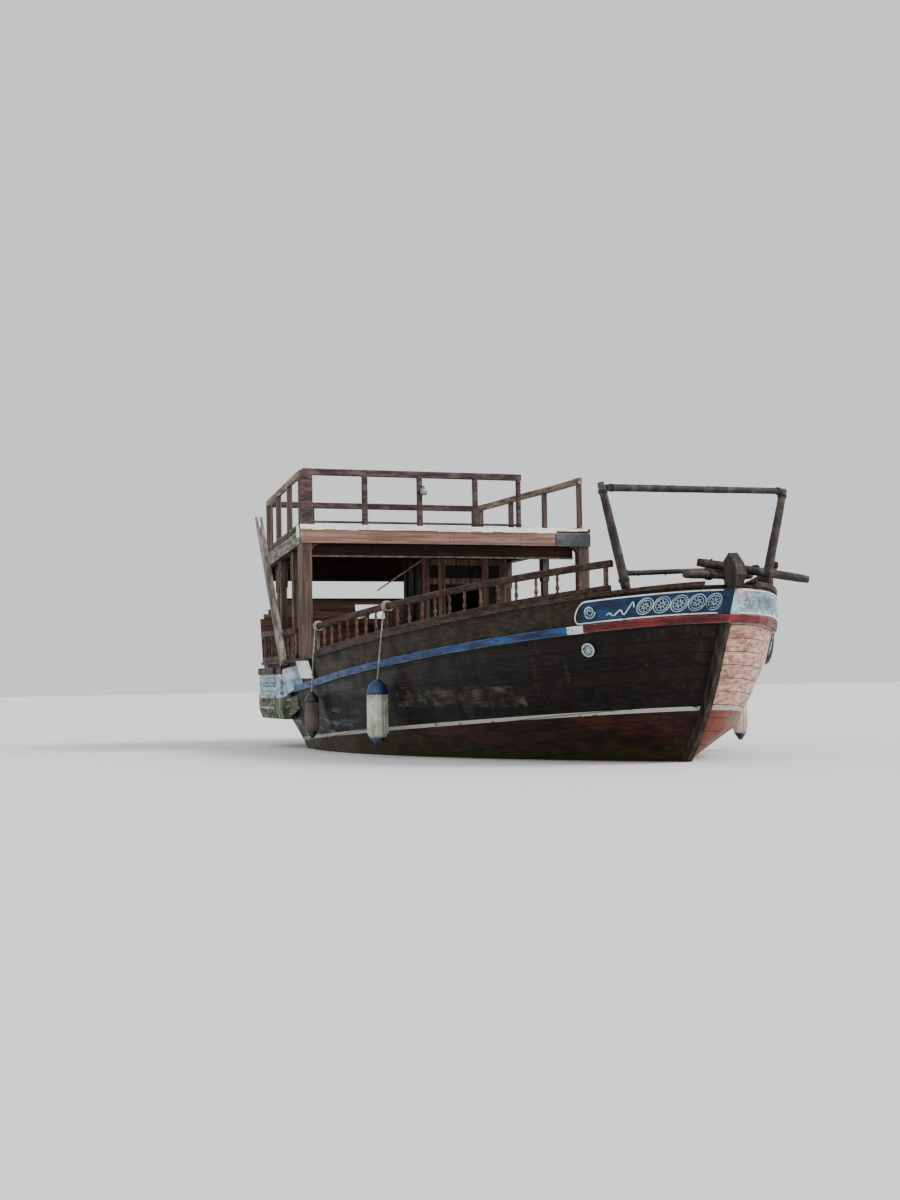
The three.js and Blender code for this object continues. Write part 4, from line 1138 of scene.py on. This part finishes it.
def addFender(name, s, side, foot, top, radius, skin, cap, capDeep):
    bm = bmesh.new()
    rail = capLine(s) - 0.02
    edge = hullSide(s, rail, 0.071, side)
    out = max(abs(edge.y), hullSide(s, top, radius + 0.008).y)
    middle = Matrix.Translation((edge.x, side * out, 0))
    core, low, high = radius * 0.93, foot + 0.15, top - capDeep
    shoulder = foot + 0.09
    body = [(0, shoulder), (radius * 0.76, shoulder), (core, low), (core, high), (0, high)]
    lathe(bm, body, middle, 32, 0)
    flutes = 16
    for k in range(flutes):
        turn = middle @ Matrix.Rotation(2 * math.pi * k / flutes, 4, "Z")
        path = [turn @ Vector((core - 0.004, 0, low + (high - low) * share)) for share in (0, 0.5, 1)]
        sweep(bm, pathFrames(path, up=turn.to_3x3() @ Vector((1, 0, 0))), circle(radius * 0.085, 6), 0)
    caps = [
        # shares of the radius, and heights
        [(0, high - 0.002), (0.97, high - 0.002), (0.99, high + 0.04), (0.8, top - 0.07), (0.42, top - 0.03),
         (0.3, top), (0, top)],
        [(0, foot), (0.25, foot), (0.32, foot + 0.02), (0.8, foot + 0.098), (0, foot + 0.1)],
    ]
    for profile in caps:
        lathe(bm, [(radius * share, z) for share, z in profile], middle, 24, 1)
    path = [Vector((edge.x, side * out, top - 0.02)), *overCap(s, side, edge.x)]
    sweep(bm, pathFrames(path, up=Vector((1, 0, 0))), circle(0.011, 8), 2)
    knot = hullSide(s, capLine(s) + railRise(edge.x) - 0.04, hull["wallMiddle"], side)
    ahead = hullSide(s + 0.1, 1.5, 0, side) - hullSide(s - 0.1, 1.5, 0, side)
    whipping(bm, knot, ahead, 0.062, 4, 0.014, 2)
    piece("ribbed_" + name, bm, [vinyls[skin], vinyls[cap], ropes["white"]], replaces=[name])


tyre = dict(section=3.62, height=1.42, radius=0.19, tube=0.052, steps=24)


def addTyre(values):
    bm = bmesh.new()
    s, z, radius, tube = (values[key] for key in ("section", "height", "radius", "tube"))
    at = onHull(s, z, tube + 0.012, 1) @ Matrix.Rotation(-math.pi / 2, 4, "X")
    frames = []
    for k in range(values["steps"] + 1):
        turn = at @ Matrix.Rotation(2 * math.pi * k / values["steps"], 4, "Z")
        frames.append(turn @ Matrix.Translation((radius, 0, 0)) @ Matrix.Rotation(math.pi / 2, 4, "Z"))
    sweep(bm, frames, [(a, 0.9 * b) for a, b in circle(tube, 12)], 0)
    bmesh.ops.remove_doubles(bm, verts=bm.verts, dist=1e-4)
    top = at.translation + upward * (radius + tube)
    path = [top, *overCap(s, 1)]
    sweep(bm, pathFrames(path, up=Vector((1, 0, 0))), circle(0.01, 8), 1)
    piece("tyre_fender", bm, [vinyls["tyre"], ropes["dark"]], smooth=True)


for row in fenders:
    addFender(*row)
addTyre(tyre)
print("fenders hung")


# Quarter galleries

gallery = dict(
    first=-4.78, last=-3.17, mouldings=-3.53, out=0.13,
    bands=((0.62, 0.655, 0.016, 0), (0.79, 0.85, 0.024, 0), (1.17, 1.28, 0.028, 1)),
    ribPitch=0.165, rib=(0.07, 0.022), diamondPitch=0.105, diamond=0.07, diamondRow=1.01, borders=(0.9, 1.12),
)


def addGallery(label, side, values):
    bm = bmesh.new()
    first, last, end = values["first"], values["last"], values["mouldings"]

    def wall(s, z, extra=0.0):
        top = capLine(s) - 0.105
        face = hullSide(s, top, values["out"], 1)
        return Vector((face.x, side * (face.y + extra), z))

    def moulding(z, extra, *bar, slot=0):
        path = [wall(first + (end - first) * k / 8, z, extra) for k in range(9)]
        sweep(bm, pathFrames(path), roundedBar(*bar), slot)

    for low, high, proud, slot in values["bands"]:
        moulding((low + high) / 2, proud / 2, proud + 0.01, high - low, 0.006, slot=slot)
    s = first + 0.04
    while s < end:
        for z0, extra, z1 in ((0.465, -0.052, 0.62), (0.655, 0.006, 0.79)):
            plank(bm, wall(s, z0, extra), wall(s, z1, 0.006), *values["rib"], 0.004, 2, Vector((0, side, 0)))
        s += values["ribPitch"]
    s = first + 0.07
    while s < end:  # a row of carved diamonds on the panel
        at = Matrix.Translation(wall(s, values["diamondRow"], 0.004)) @ Matrix.Rotation(math.pi / 4, 4, "Y")
        block(bm, at @ Matrix.Diagonal((values["diamond"], 0.018, values["diamond"], 1)), 0.005, 0)
        s += values["diamondPitch"]
    for z in values["borders"]:
        moulding(z, 0.004, 0.016, 0.022, 0.004)
    # fairing boards ahead of the gallery
    for (low, high), slot, reach in (((0.47, 0.79), 2, 0.45), ((0.8, 1.25), 0, 0.85)):
        tip, deep = last + reach, values["out"] - 0.026
        for z0, z1 in ((low, (low + high) / 2), ((low + high) / 2, high)):
            path = []
            for spot, share in ((last, 1.0), (last + reach * 0.5, 0.5), (tip, 0.04)):
                rise = high - (high - (z0 + z1) / 2) * (0.35 + 0.65 * share)
                path.append(hullSide(spot, rise, deep * share - 0.01, side))
            sweep(bm, pathFrames(path), roundedBar(0.03, (z1 - z0) * 0.98, 0.006), slot)
    piece(f"gallery_mouldings_{label}", bm, [paints["gallery"], woods["brown"], woods["sideFascia"]])


for label, side in sides.items():
    addGallery(label, side, gallery)


plate = dict(foot=(-1.85, 1.1), head=(-2.12, 1.365), half=0.3, thin=0.006, out=0.05)


def addBlankPlate(values):  # a white board leaning on the bulwark, with nothing on it
    bm = bmesh.new()
    half, thin = values["half"], values["thin"]
    frames = []
    for x, z in (values["foot"], values["head"]):
        place = hullSide(sectionAt(x), z, values["out"], -1)
        frames.append(Matrix.Translation(place) @ Matrix.Rotation(math.pi / 2, 4, "Y"))
    sweep(bm, frames, [(-thin, -half), (thin, -half), (thin, half), (-thin, half)])
    piece("blank_plate", bm, [paints["white"]])


addBlankPlate(plate)
print("galleries panelled")


# Deckhouse front, stern and rudder

house = dict(
    front=-3.9, back=-4.7, port=1.63, starboard=0.1, doorway=(0.52, 1.17), doorTop=1.74, wide=0.13,
    height=2.17, thin=0.022, strut=((-3.3, -0.92, 2.5), (-2.78, -0.06, 3.14)),
)


def addHouseTrim(values):
    bm = bmesh.new()
    front, back, port, starboard = (values[key] for key in ("front", "back", "port", "starboard"))
    wide, thin = values["wide"], values["thin"]
    floor = deckTop(front) + 0.002
    top = floor + values["height"]
    for y in (starboard + 0.06, values["doorway"][0] - 0.07, values["doorway"][1] + 0.07, port - 0.06):
        standing(bm, front + 0.012, y, floor, top, thin, wide, 0.004, 0)
    for z in (floor + values["doorTop"] + 0.05, top - 0.06):
        plank(bm, (front + 0.014, starboard, z), (front + 0.014, port, z), 0.026, 0.1, 0.004, 0)
    for y in (starboard - 0.012, port + 0.012):
        for x in (front - 0.06, (front + back) / 2, back + 0.06):
            standing(bm, x, y, floor + 0.03, top, wide, thin, 0.004, 1)
    piece("deckhouse_pilasters", bm, [woods["pilaster"], woods["house"]])
    bm = bmesh.new()
    plank(bm, *values["strut"], 0.03, 0.022, 0.003)
    piece("pale_strut", bm, [woods["pale"]])


stern = dict(
    low=2.152, high=2.49, half=1.65, thick=0.036, window=0.27, lintel=2.405, foot=2.02, rows=4, out=0.023,
)


def addParapet(values):  # boards over the transom, with a window for the tiller
    bm = bmesh.new()
    low, high, half, window = (values[key] for key in ("low", "high", "half", "window"))
    rows, thick, lean = values["rows"], values["thick"], Vector((-hull["rake"], 0, 1))

    def spot(y, z):
        return Vector((sternX(z) - values["out"], y, z))

    for side in sides.values():
        for k in range(rows):
            z0 = low + (high - low) * k / rows
            z1 = low + (high - low) * (k + 1) / rows - 0.003
            z = (z0 + z1) / 2
            wide = values["foot"] + (half - values["foot"]) * (z - low) / (high - low)
            plank(bm, spot(side * window, z), spot(side * wide, z), thick, z1 - z0, 0.004, 0, lean)
    z = (values["lintel"] + high) / 2
    plank(bm, spot(-window, z), spot(window, z), thick + 0.01, high - values["lintel"], 0.004, 0, lean)
    z = high + 0.012
    plank(bm, spot(-half, z), spot(half, z), 0.09, 0.03, 0.006, 1)
    piece("stern_parapet", bm, [woods["parapet"], woods["cap"]])


sternTrim = dict(
    bands=((0.95, 1.8, 0.05), (1.36, 1.98, 0.07), (2.06, 1.92, 0.06)), roundel=(0.98, 1.7), petals=8,
    rim=[(0, 0), (0.19, 0), (0.19, 0.014), (0.165, 0.018), (0.15, 0.008), (0, 0.008)],
    boss=[(0, 0.006), (0.05, 0.006), (0.04, 0.02), (0, 0.026)],
)


def addSternTrim(values):
    bm = bmesh.new()
    for z, half, deep in values["bands"]:
        for side in sides.values():
            a = Vector((sternX(z) - 0.05, side * 0.16, z))
            plank(bm, a, Vector((a.x, side * half, z)), 0.018, deep, 0.005, 0, Vector((-hull["rake"], 0, 1)))
    lean = Matrix.Rotation(math.atan(hull["rake"]), 4, "Y")
    y, z = values["roundel"]
    for side in sides.values():
        at = Matrix.Translation((sternX(z) - 0.045, side * y, z)) @ lean.inverted()
        at = at @ Matrix.Rotation(-math.pi / 2, 4, "Y")
        lathe(bm, values["rim"], at, 32, 1)
        lathe(bm, values["boss"], at, 16, 1)
        for k in range(values["petals"]):
            turn = at @ Matrix.Rotation(2 * math.pi * k / values["petals"], 4, "Z")
            petal = turn @ Matrix.Translation((0.1, 0, 0.009)) @ Matrix.Diagonal((0.042, 0.022, 0.011, 1))
            bmesh.ops.create_uvsphere(bm, u_segments=10, v_segments=6, radius=1, matrix=petal)
    piece("stern_mouldings", bm, [woods["cap"], paints["ornament"]])


pivot = dict(
    foot=(-5.597, 0, 0), strap=(0.07, 0.009), strapUp=0.085, blade=0.032, bolt=0.016, tillerHead=2.3746,
    gudgeons=((-0.76, 0.6), (0.06, 0.5), (0.88, 0.32), (1.7, 0.22)),  # heights, and the straps' reach
)


def onPivot(values):
    return Matrix.Translation(values["foot"]) @ Matrix.Rotation(-math.atan(hull["rake"]), 4, "Y")


def addRudderStraps(values):
    bm = bmesh.new()
    at = onPivot(values)
    deep, thick = values["strap"]
    for h, reach in values["gudgeons"]:
        for side in sides.values():
            for z in (h - values["strapUp"], h + values["strapUp"]):
                strap = at @ Matrix.Translation((-0.05 - reach / 2, side * (values["blade"] + thick / 2), z))
                block(bm, strap @ Matrix.Diagonal((reach, thick, deep, 1)), 0.003)
                for k in range(3):
                    back = -0.1 - k * (reach - 0.12) / 2
                    spot = at @ Matrix.Translation((back, side * (values["blade"] + thick), z))
                    boltHead(bm, spot @ Matrix.Rotation(-side * math.pi / 2, 4, "X"), values["bolt"])
    piece("rudder_straps", bm, [metals["iron"]], body="rudder")
    bm = bmesh.new()
    tip = at @ Vector((0.9, 0, values["tillerHead"] - 0.225))
    root = at @ Vector((0.03, 0, values["tillerHead"]))
    whipping(bm, root.lerp(tip, 0.93), tip - root, 0.031, 9, 0.006)
    piece("tiller_grip", bm, [ropes["hemp"]], body="rudder")


addHouseTrim(house)
addParapet(stern)
addSternTrim(sternTrim)
addRudderStraps(pivot)
print("house, stern and rudder trimmed")


# Inside the bulwarks, and the fittings on deck

inside = dict(
    first=-5.0, last=4.3, pitch=0.52, timber=(0.07, 0.055), bench=(-1.3, 1.0), benchTop=0.31,
    slats=4, slat=0.11, slatOut=-0.155, slatPitch=0.12,
)


def addTimberHeads(values):
    bm = bmesh.new()
    for side in sides.values():
        s = values["first"]
        while s < values["last"]:
            out = -0.06 - values["timber"][1] / 2
            foot = hullSide(s, deckLine(s) + 0.002, out, side)
            head = hullSide(s, capLine(s) - 0.048, out, side)
            plank(bm, foot, head, *values["timber"], 0.006, 0, Vector((0, side, 0)))
            s += values["pitch"]
    piece("timber_heads", bm, [woods["bulwark"]])


def addBenchSlats(values):
    bm = bmesh.new()

    def level(s):
        return deckLine(s) + values["benchTop"] + 0.012

    for side in sides.values():
        for k in range(values["slats"]):
            out = values["slatOut"] - k * values["slatPitch"]
            frames = wallFrames(*values["bench"], level, out, side)
            sweep(bm, frames, roundedBar(values["slat"], 0.022, 0.005))
    piece("bench_slats", bm, [woods["bench"]])


casing = dict(
    fore=0.03, aft=-1.33, half=0.5, top=1.715, high=0.42, louvres=5, louvrePitch=0.055, hinges=(-1.0, -0.3),
)


def addCasingDetails(values):
    bm = bmesh.new()
    fore, aft, half, top = (values[key] for key in ("fore", "aft", "half", "top"))
    low = top - values["high"]
    for y in (-half - 0.008, half + 0.008):
        for k in range(values["louvres"]):
            z = low + 0.05 + values["louvrePitch"] * k
            plank(bm, (aft + 0.25, y, z), (fore - 0.25, y, z), 0.022, 0.03, 0.004, 0)
    for x in (fore + 0.008, aft - 0.008):
        for y in (-0.42, 0.42):
            standing(bm, x, y, low, top - 0.01, 0.018, 0.09, 0.004, 0)
    for x in values["hinges"]:
        y, z = -half - 0.006, top - 0.07
        plank(bm, (x, y, z), (x + 0.12, y, z), 0.008, 0.1, 0.002, 1)
    piece("casing_louvres", bm, [woods["bench"], metals["iron"]])


strakeBolts = dict(first=-3.0, last=4.7, pitch=0.42, radius=0.009, out=0.0552)


def addStrakeBolts(values):
    bm = bmesh.new()
    for side in sides.values():
        s = values["first"]
        while s < values["last"]:
            z = strakeLine(s) - 0.047
            at = onHull(s, z, 0.0, side)
            place = Matrix.Translation(hullSide(s, z, values["out"], side)) @ at.to_3x3().to_4x4()
            boltHead(bm, place @ Matrix.Rotation(-math.pi / 2, 4, "X"), values["radius"])
            s += values["pitch"]
    piece("strake_bolts", bm, [metals["iron"]])


crutchPlank = dict(
    foot=(-3.23, -2.557, 1.3), head=(-3.95, -2.735, 3.72), width=0.118, thick=0.058, horn=0.036,
)


def addCrutch(values):
    bm = bmesh.new()
    foot, head = Vector(values["foot"]), Vector(values["head"])
    neck = foot.lerp(head, 0.93)
    shift = Vector((0, values["width"] / 2 - 0.03, 0))
    foot, head, neck = foot + shift, head + shift, neck + shift
    forward = Vector((1, 0, 0.3))
    plank(bm, foot + upward * 0.004, neck, values["width"], values["thick"], 0.008, 0, forward)
    for facing in (-1, 1):  # the two horns of the fork
        horn = Vector((0, facing * (values["width"] / 2 - 0.019), 0))
        root = foot.lerp(head, 0.9) + horn
        plank(bm, root, head + horn, values["horn"], values["thick"], 0.008, 0, forward)
    piece("split_crutch", bm, [woods["driftwood"]], replaces=["crutch"])


addTimberHeads(inside)
addBenchSlats(inside)
addCasingDetails(casing)
addStrakeBolts(strakeBolts)
addCrutch(crutchPlank)
print("deck fitted out")


# Floor and light

light = dict(floorRadius=160, floor="#dfe0de", sky="#eef0f2", skyPower=1.1, lamps=[
    # name, direction, power, softness in degrees
    ("key", (-0.7, -0.95, -0.95), 3.4, 24), ("fill", (-0.9, 0.75, -0.5), 0.5, 70),
])


def addStage(values):
    bm = bmesh.new()
    bmesh.ops.create_circle(bm, cap_ends=True, segments=64, radius=values["floorRadius"])
    mesh = bpy.data.meshes.new("floor")
    bm.to_mesh(mesh)
    bm.free()
    floor = bpy.data.objects.new("floor", mesh)
    mesh.materials.append(newMaterial("paleFloor", Base_Color=values["floor"], Roughness=0.8))
    bpy.context.scene.collection.objects.link(floor)
    world = bpy.data.worlds.new("softSky")
    world.use_nodes = True
    world.node_tree.nodes["Background"].inputs[0].default_value = hexColour(values["sky"])
    world.node_tree.nodes["Background"].inputs[1].default_value = values["skyPower"]
    bpy.context.scene.world = world
    for name, aim, power, soft in values["lamps"]:
        data = bpy.data.lights.new(name, "SUN")
        data.energy = power
        data.angle = math.radians(soft)
        lamp = bpy.data.objects.new(name, data)
        lamp.rotation_mode = "QUATERNION"
        lamp.rotation_quaternion = Vector(aim).to_track_quat("-Z", "Y")
        bpy.context.scene.collection.objects.link(lamp)


addStage(light)
print("floor and light placed")
